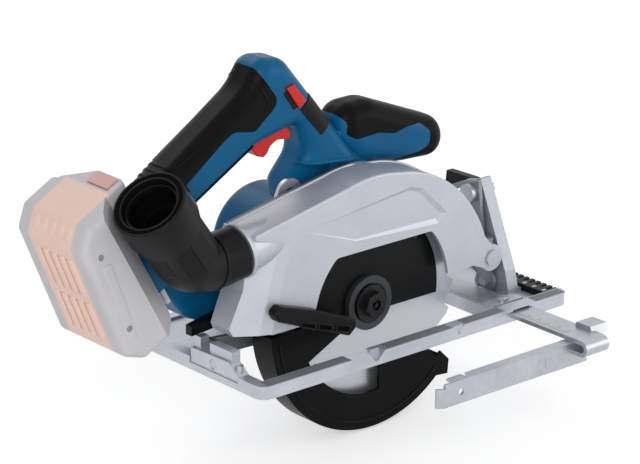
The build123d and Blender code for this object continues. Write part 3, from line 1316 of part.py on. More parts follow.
def guide_fence():
    x0, x1 = ARM_X - FENCE_REAR, ARM_X + FENCE_FRONT
    y0 = FENCE_Y
    top = ARM_Z
    body = box(x0, x1, y0, y0 + FENCE_T, FENCE_BOTTOM, top)
    body += box(x0 + 9, x1, y0, y0 + FENCE_FLANGE, top - FENCE_T, top)
    lip = [(x0, y0), (x0 - 5, y0 + 3), (x0 - 5, y0 + 5), (x0, y0 + FENCE_T)]
    body += Pos(0, 0, FENCE_BOTTOM) * extrude(polygon(lip), amount=top - FENCE_BOTTOM - 3)
    body -= rod_y(x0 + 15, (FENCE_BOTTOM + top) / 2, 2.4, y0 - 1, y0 + FENCE_T + 1)
    body -= box(x0 + 22, x0 + 26, y0 + 4, y0 + FENCE_FLANGE + 1, top - FENCE_T - 1, top + 1)
    return body


SCREW_Y = OPEN_NEAR_Y + 8.8


def clamp_bridge():
    """Bridge on the front plate that carries the guide's clamp screw."""
    top = ARM_Z + ARM_T + 2
    half = ARM_W / 2 + 4
    body = box(ARM_X - half, ARM_X + half, SCREW_Y - 5.5, SCREW_Y + 5.5, SOLE_T, top)
    gap = ARM_W / 2 + RUN_GAP
    body -= box(ARM_X - gap, ARM_X + gap, SCREW_Y - 9, SCREW_Y + 9, SOLE_T - 1, ARM_Z + ARM_T + 0.4)
    return body - rod((ARM_X, SCREW_Y, SOLE_T), (ARM_X, SCREW_Y, top + 1), 3 + RUN_GAP)


def guide_clamp_screw():
    top = ARM_Z + ARM_T + 2
    body = rod((ARM_X, SCREW_Y, ARM_Z + ARM_T + 0.2), (ARM_X, SCREW_Y, top + 1), 3)
    body += rod((ARM_X, SCREW_Y, top + 0.3), (ARM_X, SCREW_Y, top + 2), 4.5)
    hexagon = Plane(origin=(ARM_X, SCREW_Y, top + 2)) * RegularPolygon(3.6, 6)
    return body + extrude(hexagon, amount=1)


def collect():
    """Every node of the saw."""
    base = base_plate()
    screws = base_screws()
    upright = front_upright()
    bracket = rear_bracket()
    for item in screws:
        base -= item
        upright -= item
        bracket -= item
    PARTS["base_plate"] = base
    PARTS["sight_strip"] = sight_strip()
    PARTS["front_upright"] = upright
    PARTS["rear_bevel_bracket"] = bracket
    PARTS["base_screws"] = group(screws)
    PARTS["bevel_clamp_bolt"] = bevel_bolt()
    PARTS["bevel_lever"] = bevel_lever()
    PARTS["bevel_pins"] = group([front_bevel_pin(), rear_bevel_pin()])
    PARTS["clamp_bridge"] = clamp_bridge()
    PARTS["guide_clamp_screw"] = guide_clamp_screw()
    PARTS["front_quadrant"] = front_quadrant()
    PARTS["rear_tilt_bracket"] = rear_tilt_bracket()
    PARTS["depth_guide"] = depth_guide()
    PARTS["pivot_pin"] = pivot_pin()
    PARTS["upper_guard"] = upper_guard()
    PARTS["guard_screws"] = group(guard_screws())
    PARTS["dust_pipe"] = dust_pipe()
    PARTS["dust_elbow"] = dust_elbow()
    PARTS["lower_guard"] = lower_guard()
    PARTS["lower_guard_lever"] = lower_guard_lever()
    PARTS["lever_screw"] = lever_screw()
    PARTS["guard_spring"] = guard_spring()
    PARTS["arbor"] = arbor()
    PARTS["inner_flange"] = inner_flange()
    PARTS["saw_blade"] = saw_blade()
    PARTS["outer_flange"] = outer_flange()
    PARTS["blade_bolt"] = blade_bolt()
    PARTS["drive_gear"] = drive_gear()
    case = gear_case()
    PARTS["gear_case"] = case
    PARTS["arbor_bearings"] = group([arbor_bearing(), arbor_end_bearing()])
    PARTS["spindle_lock"] = spindle_lock()
    PARTS["motor_housing"] = motor_housing()
    PARTS["motor_end_cap"] = motor_end_cap()
    PARTS["motor_screws"] = group(motor_screws())
    PARTS["stator"] = stator()
    PARTS["motor_shaft"] = motor_shaft()
    PARTS["rotor_core"] = rotor_core()
    PARTS["motor_fan"] = motor_fan()
    PARTS["motor_bearings"] = group(motor_bearings())
    PARTS["depth_clamp_bolt"] = depth_bolt()
    PARTS["depth_lever"] = depth_lever()
    near, far, cover, handle = handle_pieces()
    PARTS["handle_shell_near"] = near
    PARTS["handle_shell_far"] = far
    PARTS["grip_cover"] = cover
    PARTS["handle_screws"] = group(handle_screws())
    PARTS["trigger"] = trigger()
    PARTS["lock_off_button"] = lock_off_button()
    PARTS["side_panel"] = side_panel()
    PARTS["switch_module"] = switch_module()
    core, grip = aux_pieces(handle)
    PARTS["front_handle"] = core
    PARTS["front_handle_grip"] = grip
    PARTS["rear_housing"] = rear_housing(handle, case)
    PARTS["motor_controller"] = controller()
    PARTS["terminal_block"] = terminal_block()
    case_part, cover_part = battery_pieces()
    PARTS["battery_case"] = case_part
    PARTS["battery_cover"] = cover_part
    PARTS["battery_cells"] = group(battery_cells())
    PARTS["battery_button"] = battery_button()
    PARTS["guide_arm"] = guide_arm()
    PARTS["guide_fence"] = guide_fence()


collect()
os.makedirs("parts", exist_ok=True)
for name, shape in PARTS.items():
    export_step(shape, f"parts/{name}.step")
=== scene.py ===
"""Cordless circular saw: finishes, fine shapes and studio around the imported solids.

Blender works in metres, and every size below is in millimetres unless it says otherwise. X points forward, Y
towards the motor and Z up, with the origin on the sole at the base plate's centre.
"""
import math

import bmesh
import bpy
import numpy as np
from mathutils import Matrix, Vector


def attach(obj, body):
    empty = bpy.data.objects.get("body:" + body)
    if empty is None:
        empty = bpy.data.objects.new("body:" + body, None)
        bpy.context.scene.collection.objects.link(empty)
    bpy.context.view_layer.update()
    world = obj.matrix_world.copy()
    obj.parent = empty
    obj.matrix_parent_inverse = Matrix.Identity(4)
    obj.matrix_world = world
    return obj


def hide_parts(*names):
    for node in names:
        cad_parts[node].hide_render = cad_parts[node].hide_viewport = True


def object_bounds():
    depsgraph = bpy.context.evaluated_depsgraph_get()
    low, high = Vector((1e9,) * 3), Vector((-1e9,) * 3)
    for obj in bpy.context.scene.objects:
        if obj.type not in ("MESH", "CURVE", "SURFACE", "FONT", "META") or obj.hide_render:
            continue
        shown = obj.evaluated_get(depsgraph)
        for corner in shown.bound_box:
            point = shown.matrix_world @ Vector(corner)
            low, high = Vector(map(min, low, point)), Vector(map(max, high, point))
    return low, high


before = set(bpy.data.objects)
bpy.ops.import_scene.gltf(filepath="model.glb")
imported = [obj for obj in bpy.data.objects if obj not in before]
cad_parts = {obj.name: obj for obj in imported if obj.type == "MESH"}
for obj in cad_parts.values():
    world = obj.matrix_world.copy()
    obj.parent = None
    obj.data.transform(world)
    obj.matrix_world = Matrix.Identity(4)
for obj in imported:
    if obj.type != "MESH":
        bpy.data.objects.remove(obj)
cad_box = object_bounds()
scene = bpy.context.scene
MM = 0.001
NEAR = np.array([0.0, -1.0, 0.0])    # the blade's side
FAR = np.array([0.0, 1.0, 0.0])      # the motor's side
UP = np.array([0.0, 0.0, 1.0])

# Blade, guards and the lower guard's lever
ARBOR = np.array([-10.0, 26.0])      # X and Z
PRINT_R = 67.0                       # printed disc on the blade
PRINT_EDGE_Z = 17.0
FLANGE_FACE_R = 14.5
GUARD_R = 96.3
GUARD_FRONT_SHIFT = 12.0             # the front arc's centre, ahead of the arbor and below it
GUARD_FRONT_DROP = 2.0
GUARD_NEAR_Y = -44.5
GUARD_SEAM_Y = -14.0
GUARD_EDGE_Y = -11.3
GUARD_MARK_X = 70.0
GUARD_MARK_Z = (50.0, 57.0)
CHUTE_TOP = np.array([[-118.0, 103.0], [-23.0, 121.3]])
CHUTE_TOP_OUT = [(-0.19, 0.98), (-0.15, 0.99)]                             # directions out from it
LOWER_GUARD_NEAR_Y = -40.0
LOWER_RIB_R = 86.5
LOWER_RIB_TURN = (186, 314)          # degrees round the arbor
LEVER_NEAR_Y = -53.7
POCKET_Y = LEVER_NEAR_Y + 0.2
POCKETS = np.array([                 # corners in X and Z
    [(-89, 36.2), (-75.5, 32), (-75.5, 27.2), (-87.5, 32)],
    [(-72, 30.6), (-60, 26.9), (-60, 22.2), (-72, 26)],
    [(-56, 25.6), (-44, 22.6), (-44, 17.4), (-56, 20.8)]])

# Handle: outline in X, Z and corner radius, and what lies on it
HANDLE_Y = 4.0
HANDLE_W = 34.0
HANDLE_ROUND = 11.0
HANDLE = [(-193, 129, 12), (-178, 140, 14), (-98.3, 192.7, 40), (-85, 212, 12.5), (-64, 209, 16),
          (4, 124, 30), (17, 104, 14), (17, 88, 11.5), (-47, 88, 11.5), (-66, 113, 14), (-45, 137, 12),
          (-52, 160, 6), (-89, 151.5, 14), (-150, 116, 12), (-166, 103, 12.5)]
PALM_LINE = [(-92.6, 200.4), (-91.8, 197.1), (-88.3, 192.1), (-84.4, 185.8), (-82, 180.5), (-85, 176.5),
             (-92.2, 175.7), (-97.1, 176.4), (-109.7, 178.6), (-115.2, 175.2), (-130, 166.3), (-143.4, 158.3),
             (-158.8, 149.5)]
GRIP_RUN = np.array([65.0, 43.0])    # along the top of the grip
GRIP_STEP_AT = np.array([-172.0, 144.0])
GRIP_STEP_PITCH = np.array([4.5, 3.0])
GRIP_STEP_COUNT = 3
GRIP_STEP_DROPS = [20.0, 15.0]       # below the top edge, where a step starts on the side
UNDERSIDE = np.array([[-148.0, 117.2], [-92.0, 149.2]])
UNDERSIDE_WRAP = math.radians(62)    # round the grip's lower edges
UNDERSIDE_RISE = 0.45
UNDERSIDE_DEPTH = 0.3
LOCK_RECESS = [(-67.6, 186.6), (-58.2, 173.2)]
STEP_LIP = [(-50, 131.2), (-46, 130.5), (-40.5, 129.8), (-28.9, 128.5), (-15, 126.9), (-4, 125.7)]

# Dust pipe and elbow: the pipe runs back and down, and the elbow's leg turns up from it and swings aside
PIPE_ROOT = np.array([-120.0, -28.0, 88.7])
PIPE_FALL = math.radians(8.1)
PIPE_DIR = np.array([-math.cos(PIPE_FALL), 0.0, -math.sin(PIPE_FALL)])
PIPE_RISE = np.array([PIPE_DIR[2], 0.0, -PIPE_DIR[0]])
ELBOW_R = 23.0
ELBOW_BORE_R = 15.9
ELBOW_BEND_R = 34.0
ELBOW_TURN = math.radians(60.8)
ELBOW_SWING = math.radians(9.4)
ELBOW_CORNER = 39.0                  # pipe root to the corner of the bend
ELBOW_LEG = 76.7                     # corner of the bend to the mouth
ELBOW_START = 4.0                    # pipe root to the cuff's end
ELBOW_EDGE = 0.5                     # broken edges of cuff and mouth
CUFF_R = 18.7
CUFF_TURN = math.radians(12)         # of the bend, where the tube begins to widen
JOINT_RING_R = 0.6
MOUTH_R = 26.0
MOUTH_BORE_R = 20.0
MOUTH_BORE_DEPTH = 26.0
MOUTH_FLARE = (42.7, 54.7)           # along the leg
MOUTH_LIPS = [(MOUTH_R - 0.9, 0.8), (MOUTH_BORE_R + 0.8, 0.75)]            # radius, and of the lip itself
MOUTH_LIP_SINK = 0.1
MOUTH_GROOVE = [(21.4, -0.6), (24.4, -0.6), (24.4, 0.05), (21.4, 0.05)]    # radius, height over the mouth
MOUTH_STEP = [(17.6, -9.0), (17.6, -4.2), (18.0, -3.6), (18.9, -3.6), (19.9, -5.5), (19.9, -9.0)]
CHUTE_RIM = [(17.6, 0.2), (19.0, 0.2), (19.8, 0.8), (19.8, 2.2), (19.2, 2.9), (17.6, 2.9)]
ELBOW_FLATS = [(69, 104, 20, 39), (60, 104, 56, 84), (52, 104, 88, 122)]   # degrees of the bend, and round it
FLAT_PROUD = 0.15
FLAT_SINK = 1.5
FLAT_EDGE = 0.6

# Base plate, sight strip and parallel guide
RAIL_TOP_Z = 9.5
RAIL_NEAR_Y = -80.0
RAIL_TRACKS_Y = np.linspace(-78.4, -71.2, 5)
RAIL_TRACKS_X = np.array([(-138.0, -66.0), (-30.0, 30.0), (42.0, 81.0), (112.0, 141.0)])
RAIL_LINES_X = [-91.7, 70.0]
RAIL_LINES_Z = (0.8, 8.6)
STRIP_MARKS_Y = np.linspace(-65.0, -25.0, 5)
STRIP_MARKS_X = (131.2, 135.0)
STRIP_TOP_Z = 9.0
ARM_TOP_Z = 7.0
SCALE_Y = np.arange(-132.0, -82.0, 2.5)
SCALE_X = 87.0
TICK, LONG_TICK, TICKS_PER_LONG = 4.0, 8.0, 4
FENCE_NEAR_Y = -145.0
FENCE_TAB_X = 58.5
FENCE_TAB_Z = (-8.0, 1.5)

# Battery, in its slide frame: u down the slide, v towards the saw
SLIDE = math.radians(28.3)
BATTERY_NEAR_Y = -24.0
BATTERY_MID_Y = 14.0
RIB_PITCH = 9.0
RIB_Y = BATTERY_MID_Y + RIB_PITCH * np.arange(-2, 3)
RIB_FROM_U = np.array([-208.0, -171.0])
RIB_TO_U = np.array([-177.0, -141.0])
PANEL_TOP = (-218.0, -165.0)
PANEL_SLOPE = -9.0 / 87.0            # v for each u
SCALLOP_FROM = (-227.6, -154.6)
SCALLOP_TO = (-221.5, -161.2)
SCALLOP_OUT = (-13.0, -12.0)
SIDE_BAR_FROM = (-199.0, -154.0)
SIDE_BAR_TO = (-138.0, -163.0)
SIDE_BAR_RISE = 0.8
SHELL_WELL = (-206.5, -154.5)        # screw wells: one in the shell, one in the side bar
BAR_WELL = (-148.0, -161.5)
WELL_PROFILE = [(0.2, -0.4), (2.3, -0.4), (2.3, 0.06), (0.2, 0.06)]

# Strips that stand on a surface
STRIP_FOOT = 0.5                     # depth of a strip's foot under the surface
STRIP_END_WIDTH = 0.6                # share of the width and of the rise that is left at a strip's ends
STRIP_END_RISE = 0.7

# Studio, in metres and watts: place, size and power of each lamp
LAMPS = {
    "key": ((-1.9, -1.9, 1.15), 1.5, 28.0),
    "fill": ((1.7, -1.7, 0.7), 1.4, 11.0),
    "rim": ((0.2, 1.9, 1.5), 1.2, 8.0),
}
FLOOR_SIZE = 8
FLOOR_GAP = 0.002
FLOOR_GLOW = (0.48, 0.64)            # under the saw, and where the lamps no longer reach
FLOOR_GLOW_AT = (0.6, 2.6)           # distances from the saw for those two
SKY_LIGHT = 0.4                      # strength as light, where 1 is what shows
VIEW_AZIMUTH = math.radians(-40.4)
VIEW_HEIGHT = math.radians(19.5)
VIEW_DISTANCE = 2.29387
VIEW_ASIDE = -0.01911
VIEW_UP = 0.06275
VIEW_LENS = 180.0                    # millimetres, on a 36 mm sensor


def srgb(code):
    """Linear colour of an sRGB hex value."""
    value = np.array([int(code[i:i + 2], 16) for i in (1, 3, 5)]) / 255
    linear = np.where(value <= 0.04045, value / 12.92, ((value + 0.055) / 1.055) ** 2.4)
    return (*linear.tolist(), 1.0)


def add(tree, kind, inputs=None, **settings):
    """One node: settings are its properties, inputs its sockets, each a value or a socket to link."""
    made = tree.nodes.new(kind)
    for name, value in settings.items():
        setattr(made, name, value)
    for name, value in (inputs or {}).items():
        if isinstance(value, bpy.types.NodeSocket):
            tree.links.new(value, made.inputs[name])
        else:
            made.inputs[name].default_value = value
    return made


def finish(name, shader, build):
    """A material: shader holds the values that are the same all over, build adds what varies."""
    made = bpy.data.materials.new(name)
    made.use_nodes = True
    tree = made.node_tree
    surface = tree.nodes["Principled BSDF"]
    for socket, value in shader.items():
        surface.inputs[socket].default_value = value
    build(tree, surface)
    return made


def two_tone(tree, share, colours, low, high):
    """Colour that runs from the first to the second of two while share runs from low to high."""
    ramp = add(tree, "ShaderNodeValToRGB", {"Fac": share})
    for stop, place, colour in zip(ramp.color_ramp.elements, (low, high), colours):
        stop.position = place
        stop.color = srgb(colour)
    return ramp.outputs["Color"]


def grained(colours, size_mm, depth_mm, rough, detail=3.0, stretch=(1, 1, 1), drift_mm=30):
    """Build function of a moulded or rolled grain on the piece's own coordinates.

    A fine noise size_mm across, so at a scale of 1000 / size_mm per metre, gives a bump depth_mm deep, and
    stretch draws it out. Its mean with a slow noise drift_mm across sets the colour and the roughness."""
    def build(tree, surface):
        place = add(tree, "ShaderNodeTexCoord").outputs["Object"]
        drawn = add(tree, "ShaderNodeMapping", {"Vector": place, "Scale": stretch}).outputs["Vector"]
        fine = add(tree, "ShaderNodeTexNoise", {"Vector": drawn, "Scale": 1000 / size_mm, "Detail": detail})
        slow = add(tree, "ShaderNodeTexNoise", {"Vector": place, "Scale": 1000 / drift_mm, "Detail": 2.0})
        both = add(tree, "ShaderNodeMath", {0: fine.outputs["Fac"], 1: slow.outputs["Fac"]}, operation="ADD")
        mean = add(tree, "ShaderNodeMath", {0: both.outputs[0], 1: 0.5}, operation="MULTIPLY").outputs[0]
        spread = add(tree, "ShaderNodeMapRange", {"Value": mean, "From Min": 0.3, "From Max": 0.7,
                                                  "To Min": rough[0], "To Max": rough[1]})
        bump = add(tree, "ShaderNodeBump", {"Height": fine.outputs["Fac"], "Distance": depth_mm * MM,
                                            "Strength": 1.0})
        tree.links.new(two_tone(tree, mean, colours, 0.35, 0.65), surface.inputs["Base Color"])
        tree.links.new(spread.outputs["Result"], surface.inputs["Roughness"])
        tree.links.new(bump.outputs["Normal"], surface.inputs["Normal"])
    return build


# Finishes. A grain that is finer than half a millimetre on the real piece is drawn coarser, so that it shows

# Glass-filled nylon, spark-eroded mould: an even fine grain that breaks up the light, satin
blue_nylon = finish("blue_nylon_spark_eroded", {"IOR": 1.53, "Specular IOR Level": 0.13},
                    grained(("#035a86", "#066391"), size_mm=0.9, depth_mm=0.02, rough=(0.3, 0.38)))
# The same nylon, carbon black: dark grey where light skims it
black_nylon = finish("black_nylon_spark_eroded", {"IOR": 1.53, "Specular IOR Level": 0.12},
                     grained(("#0d0d0e", "#131315"), size_mm=0.9, depth_mm=0.02, rough=(0.36, 0.46)))
# Painted shade: the same black, darker and without sheen, for where no light gets in, at the bottom of a
# moulded groove and in the lever's pockets
painted_shade_black = finish("black_nylon_painted_shade", {"IOR": 1.53, "Specular IOR Level": 0.03},
                     grained(("#050505", "#080808"), size_mm=0.9, depth_mm=0.02, rough=(0.6, 0.7)))
# Thermoplastic elastomer, moulded over the nylon: softer and more matt than its carrier
soft_grip = finish("black_elastomer_overmould", {"IOR": 1.5, "Specular IOR Level": 0.07},
                   grained(("#0a0a0b", "#0f0f10"), size_mm=1.2, depth_mm=0.02, rough=(0.34, 0.44)))
# ABS, polished mould: smooth and a little glossy
red_abs = finish("red_abs_polished", {"IOR": 1.54, "Specular IOR Level": 0.22},
                 grained(("#d2231d", "#d92c25"), size_mm=3.0, depth_mm=0.001, rough=(0.28, 0.34)))
# Silver lacquer on die-cast metal: fine flakes under a smooth coat
silver_paint = finish("silver_lacquer_on_casting",
                      {"Metallic": 0.35, "IOR": 1.5, "Coat Weight": 0.12, "Coat Roughness": 0.25},
                      grained(("#bfc2cb", "#c9ccd4"), size_mm=0.7, depth_mm=0.006, rough=(0.36, 0.44),
                              detail=2.0))
# Painted shade: the same lacquer as a darker, duller grey, for the guard's far top edge, which faces away
# from the light
painted_shade_silver = finish("silver_lacquer_painted_shade", {"Metallic": 0.3, "IOR": 1.5},
                      grained(("#5a5c63", "#686a71"), size_mm=0.7, depth_mm=0.006, rough=(0.44, 0.52),
                              detail=2.0))
# Rolled aluminium: lines along the rolling direction, soft grey
rolled_aluminium = finish("rolled_aluminium", {"Metallic": 0.7},
                          grained(("#b8bbc3", "#c9ccd4"), size_mm=1.2, depth_mm=0.006, rough=(0.36, 0.46),
                                  stretch=(0.03, 1, 1)))
# The same rolled aluminium where a ribbed roller left it rough, with hardly any shine; its darker grey is
# painted shade, for the rail's top and the grooves between its ribs
ribbed_aluminium_painted_shade = finish("ribbed_aluminium_painted_shade", {"Metallic": 0.5},
                          grained(("#777a80", "#8a8d93"), size_mm=0.8, depth_mm=0.03, rough=(0.5, 0.62),
                                  stretch=(0.05, 1, 1)))
# Steel strip, bright zinc plate: pale, with the faint cloudiness of the bath
zinc_plate = finish("zinc_plated_steel", {"Metallic": 0.75},
                    grained(("#b0b3ba", "#c0c3c9"), size_mm=5.0, depth_mm=0.002, rough=(0.3, 0.38)))
# The same plate on thick bent strip, passivated: greyer and duller
dull_zinc = finish("passivated_zinc_on_strip", {"Metallic": 0.5},
                   grained(("#85888e", "#94979d"), size_mm=5.0, depth_mm=0.002, rough=(0.4, 0.48)))
# The same plate on the folded upright, brushed before plating: pale but not bright
brushed_zinc = finish("brushed_zinc_on_upright", {"Metallic": 0.5},
                      grained(("#a0a3ab", "#afb2ba"), size_mm=3.0, depth_mm=0.002, rough=(0.38, 0.46)))
# Blackened steel: dark oxide with an oily half gloss
black_oxide = finish("black_oxide_steel", {"Metallic": 0.5},
                     grained(("#18191a", "#222325"), size_mm=0.8, depth_mm=0.006, rough=(0.34, 0.44)))
# Black paint on pressed steel: smooth, half gloss
black_paint = finish("black_paint_on_steel", {"IOR": 1.5, "Specular IOR Level": 0.07},
                     grained(("#0a0b0c", "#101112"), size_mm=1.5, depth_mm=0.004, rough=(0.3, 0.38)))
# Die-cast aluminium as it leaves the mould: dull, slightly rough
die_cast = finish("die_cast_aluminium", {"Metallic": 0.7},
                  grained(("#8f9297", "#a3a6ab"), size_mm=1.1, depth_mm=0.03, rough=(0.44, 0.56)))
# Stacked electrical steel: the edges of thin sheets across the motor's axis
core_stack = finish("laminated_electrical_steel", {"Metallic": 0.7},
                    grained(("#4a4b4e", "#5d5e62"), size_mm=0.6, depth_mm=0.02, rough=(0.4, 0.55),
                            stretch=(0.05, 1, 0.05)))
# Potted circuit board: resin over green laminate, glossy in places
potted_board = finish("potted_circuit_board", {"IOR": 1.5},
                      grained(("#1c4327", "#245330"), size_mm=2.5, depth_mm=0.05, rough=(0.3, 0.45)))
# Battery shells, moulded polycarbonate: pale and matt
pale_grey = finish("pale_grey_polycarbonate", {"IOR": 1.58, "Specular IOR Level": 0.2},
                   grained(("#cfcdd0", "#d7d5d8"), size_mm=0.9, depth_mm=0.015, rough=(0.44, 0.54)))
# Painted shade: the pale grey made darker, for the screw wells
shaded_pale_grey = finish("pale_grey_polycarbonate_painted_shade", {"IOR": 1.58, "Specular IOR Level": 0.2},
                   grained(("#8f8d90", "#9a989b"), size_mm=0.9, depth_mm=0.015, rough=(0.5, 0.6)))
pale_copper = finish("pale_copper_polycarbonate", {"IOR": 1.58, "Specular IOR Level": 0.2},
                     grained(("#fad6c8", "#fcded1"), size_mm=0.9, depth_mm=0.015, rough=(0.44, 0.54)))
# Painted shade: the pale copper made darker, for the floor between the battery's ribs
shaded_pale_copper = finish("pale_copper_polycarbonate_painted_shade", {"IOR": 1.58, "Specular IOR Level": 0.3},
                     grained(("#e0b3a2", "#e6bdad"), size_mm=0.9, depth_mm=0.015, rough=(0.5, 0.6)))
pale_red = finish("pale_red_polycarbonate", {"IOR": 1.58, "Specular IOR Level": 0.35},
                  grained(("#dda5a1", "#e3afab"), size_mm=0.9, depth_mm=0.01, rough=(0.4, 0.5)))
# Cells in shrink sleeve: smooth film, slight sheen
cell_sleeve = finish("cell_shrink_sleeve", {"IOR": 1.5},
                     grained(("#7d8087", "#8b8e95"), size_mm=4.0, depth_mm=0.02, rough=(0.28, 0.36)))
# Screen-printed marks: flat ink, matt and slightly uneven
pale_ink = finish("off_white_screen_ink", {"IOR": 1.5, "Specular IOR Level": 0.3},
                  grained(("#c9cac8", "#d6d7d4"), size_mm=0.5, depth_mm=0.004, rough=(0.5, 0.6)))
dark_ink = finish("grey_screen_ink", {"IOR": 1.5, "Specular IOR Level": 0.3},
                  grained(("#55575c", "#606268"), size_mm=0.5, depth_mm=0.004, rough=(0.5, 0.6)))


def about_arbor(tree):
    """Distance of a point from the arbor's axis, and its height above the sole."""
    place = add(tree, "ShaderNodeTexCoord").outputs["Object"]
    centred = add(tree, "ShaderNodeMapping", {"Vector": place, "Scale": (1, 0, 1),
                                              "Location": (-ARBOR[0] * MM, 0, -ARBOR[1] * MM)})
    radius = add(tree, "ShaderNodeVectorMath", {0: centred.outputs["Vector"]}, operation="LENGTH")
    return radius.outputs["Value"], add(tree, "ShaderNodeSeparateXYZ", {"Vector": place}).outputs["Z"]


def turned_face(tree, surface, radius, colours, ink, inked, metal, ring_mm):
    """Steel turned about the arbor: fine rings ring_mm apart, and ink where the socket inked is 1."""
    rings = add(tree, "ShaderNodeTexNoise", {"W": radius, "Scale": 1000 / ring_mm, "Detail": 2.0},
                noise_dimensions="1D").outputs["Fac"]
    steel = two_tone(tree, rings, colours, 0.3, 0.7)
    colour = add(tree, "ShaderNodeMix", {"Factor": inked, 6: steel, 7: srgb(ink)}, data_type="RGBA")
    bare = add(tree, "ShaderNodeMapRange", {"Value": inked, "To Min": metal, "To Max": 0.0})
    rough = add(tree, "ShaderNodeMapRange", {"Value": rings, "From Min": 0.3, "From Max": 0.7,
                                             "To Min": 0.3, "To Max": 0.36})
    tree.links.new(colour.outputs[2], surface.inputs["Base Color"])
    tree.links.new(bare.outputs["Result"], surface.inputs["Metallic"])
    tree.links.new(rough.outputs["Result"], surface.inputs["Roughness"])


def blade_face(tree, surface):
    """Ground steel, printed black inside PRINT_R above a straight edge."""
    radius, height = about_arbor(tree)
    within = add(tree, "ShaderNodeMath", {0: radius, 1: PRINT_R * MM}, operation="LESS_THAN")
    above = add(tree, "ShaderNodeMath", {0: height, 1: PRINT_EDGE_Z * MM}, operation="GREATER_THAN")
    inked = add(tree, "ShaderNodeMath", {0: within.outputs[0], 1: above.outputs[0]}, operation="MULTIPLY")
    turned_face(tree, surface, radius, ("#b9bcc2", "#c4c7cc"), "#0e0f10", inked.outputs[0],
                metal=0.8, ring_mm=0.5)


def flange_face(tree, surface):
    """Turned grey rim, blackened inside FLANGE_FACE_R."""
    radius, _ = about_arbor(tree)
    inner = add(tree, "ShaderNodeMath", {0: radius, 1: FLANGE_FACE_R * MM}, operation="LESS_THAN")
    turned_face(tree, surface, radius, ("#3c3e41", "#4b4d51"), "#101112", inner.outputs[0],
                metal=0.5, ring_mm=0.4)


# Saw blade, steel ground on a turntable and printed: rings that catch the light, a matt black disc
blade_steel = finish("ground_blade_steel", {"Specular IOR Level": 0.12}, blade_face)
# Blade flange, phosphated steel with a worn rim: dark grey, greyer where it is handled
flange_steel = finish("phosphated_flange_steel", {"Specular IOR Level": 0.2}, flange_face)

NODE_FINISH = {
    blue_nylon: "handle_shell_near handle_shell_far front_handle motor_housing motor_end_cap rear_housing",
    black_nylon: "sight_strip bevel_lever dust_pipe dust_elbow lower_guard_lever spindle_lock motor_fan"
                 " depth_lever side_panel switch_module terminal_block",
    soft_grip: "grip_cover front_handle_grip",
    red_abs: "trigger lock_off_button",
    silver_paint: "upper_guard",
    rolled_aluminium: "base_plate rear_bevel_bracket clamp_bridge",
    dull_zinc: "front_quadrant rear_tilt_bracket",
    brushed_zinc: "front_upright",
    zinc_plate: "base_screws bevel_clamp_bolt bevel_pins guide_clamp_screw depth_guide pivot_pin guard_screws"
                " guard_spring arbor_bearings motor_screws motor_bearings depth_clamp_bolt handle_screws"
                " guide_arm guide_fence",
    flange_steel: "outer_flange",
    black_oxide: "lever_screw arbor inner_flange blade_bolt drive_gear motor_shaft",
    blade_steel: "saw_blade",
    black_paint: "lower_guard",
    die_cast: "gear_case",
    core_stack: "stator rotor_core",
    potted_board: "motor_controller",
    pale_grey: "battery_case",
    pale_red: "battery_button",
    pale_copper: "battery_cover",
    cell_sleeve: "battery_cells",
}
for material, names in NODE_FINISH.items():
    for name in names.split():
        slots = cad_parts[name].data.materials
        slots.clear()
        slots.append(material)


def unit(vectors):
    """Vectors over their lengths."""
    return vectors / np.linalg.norm(vectors, axis=-1, keepdims=True)


def mesh_piece(name, grids, material, body, ring=False, sharp=35):
    """One piece from grids of points, copies x rows x columns x 3, with edges over sharp degrees kept sharp.

    Columns close round each row. Rows close on themselves in a ring, and otherwise end in flat caps."""
    grids = np.asarray(grids, float)
    grids = grids[None] if grids.ndim == 3 else grids
    copies, rows, cols = grids.shape[:3]
    across, along = np.meshgrid(np.arange(cols), np.arange(rows if ring else rows - 1))
    nearby, onward = (across + 1) % cols, (along + 1) % rows
    quads = np.stack([along * cols + across, along * cols + nearby, onward * cols + nearby,
                      onward * cols + across], -1).reshape(-1, 4)
    start = np.arange(copies)[:, None, None] * rows * cols
    faces = (quads[None] + start).reshape(-1, 4).tolist()
    if not ring:
        ends = np.stack([np.arange(cols)[::-1], (rows - 1) * cols + np.arange(cols)])
        faces += (ends[None] + start).reshape(-1, cols).tolist()
    mesh = bpy.data.meshes.new(name)
    mesh.from_pydata((grids.reshape(-1, 3) * MM).tolist(), [], faces)
    shell = bmesh.new()
    shell.from_mesh(mesh)
    bmesh.ops.recalc_face_normals(shell, faces=shell.faces)
    shell.to_mesh(mesh)
    shell.free()
    mesh.shade_smooth()
    mesh.set_sharp_from_angle(angle=math.radians(sharp))
    mesh.materials.append(material)
    made = bpy.data.objects.new(name, mesh)
    scene.collection.objects.link(made)
    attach(made, body)
    return made


def spots(x, y, z):
    """Points from coordinates that are numbers or arrays of numbers."""
    return np.stack(np.broadcast_arrays(*(np.asarray(part, float) for part in (x, y, z))), -1)


def at_y(points, y):
    """Points of X and Z in the plane at y."""
    points = np.asarray(points, float)
    return spots(points[:, 0], y, points[:, 1])


def on_arc(centre, radius, turn):
    """Points of X and Z on a circle: centre + radius * (cos turn, sin turn)."""
    return centre + radius * np.stack([np.cos(turn), np.sin(turn)], 1)


def eased(points, rounds=3):
    """Corner cutting: each round puts two points on every side, a quarter of the way in from its ends."""
    path = np.asarray(points, float)
    for _ in range(rounds):
        cut = np.stack([0.75 * path[:-1] + 0.25 * path[1:], 0.25 * path[:-1] + 0.75 * path[1:]], 1)
        path = np.concatenate([path[:1], cut.reshape(-1, path.shape[1]), path[-1:]])
    return path


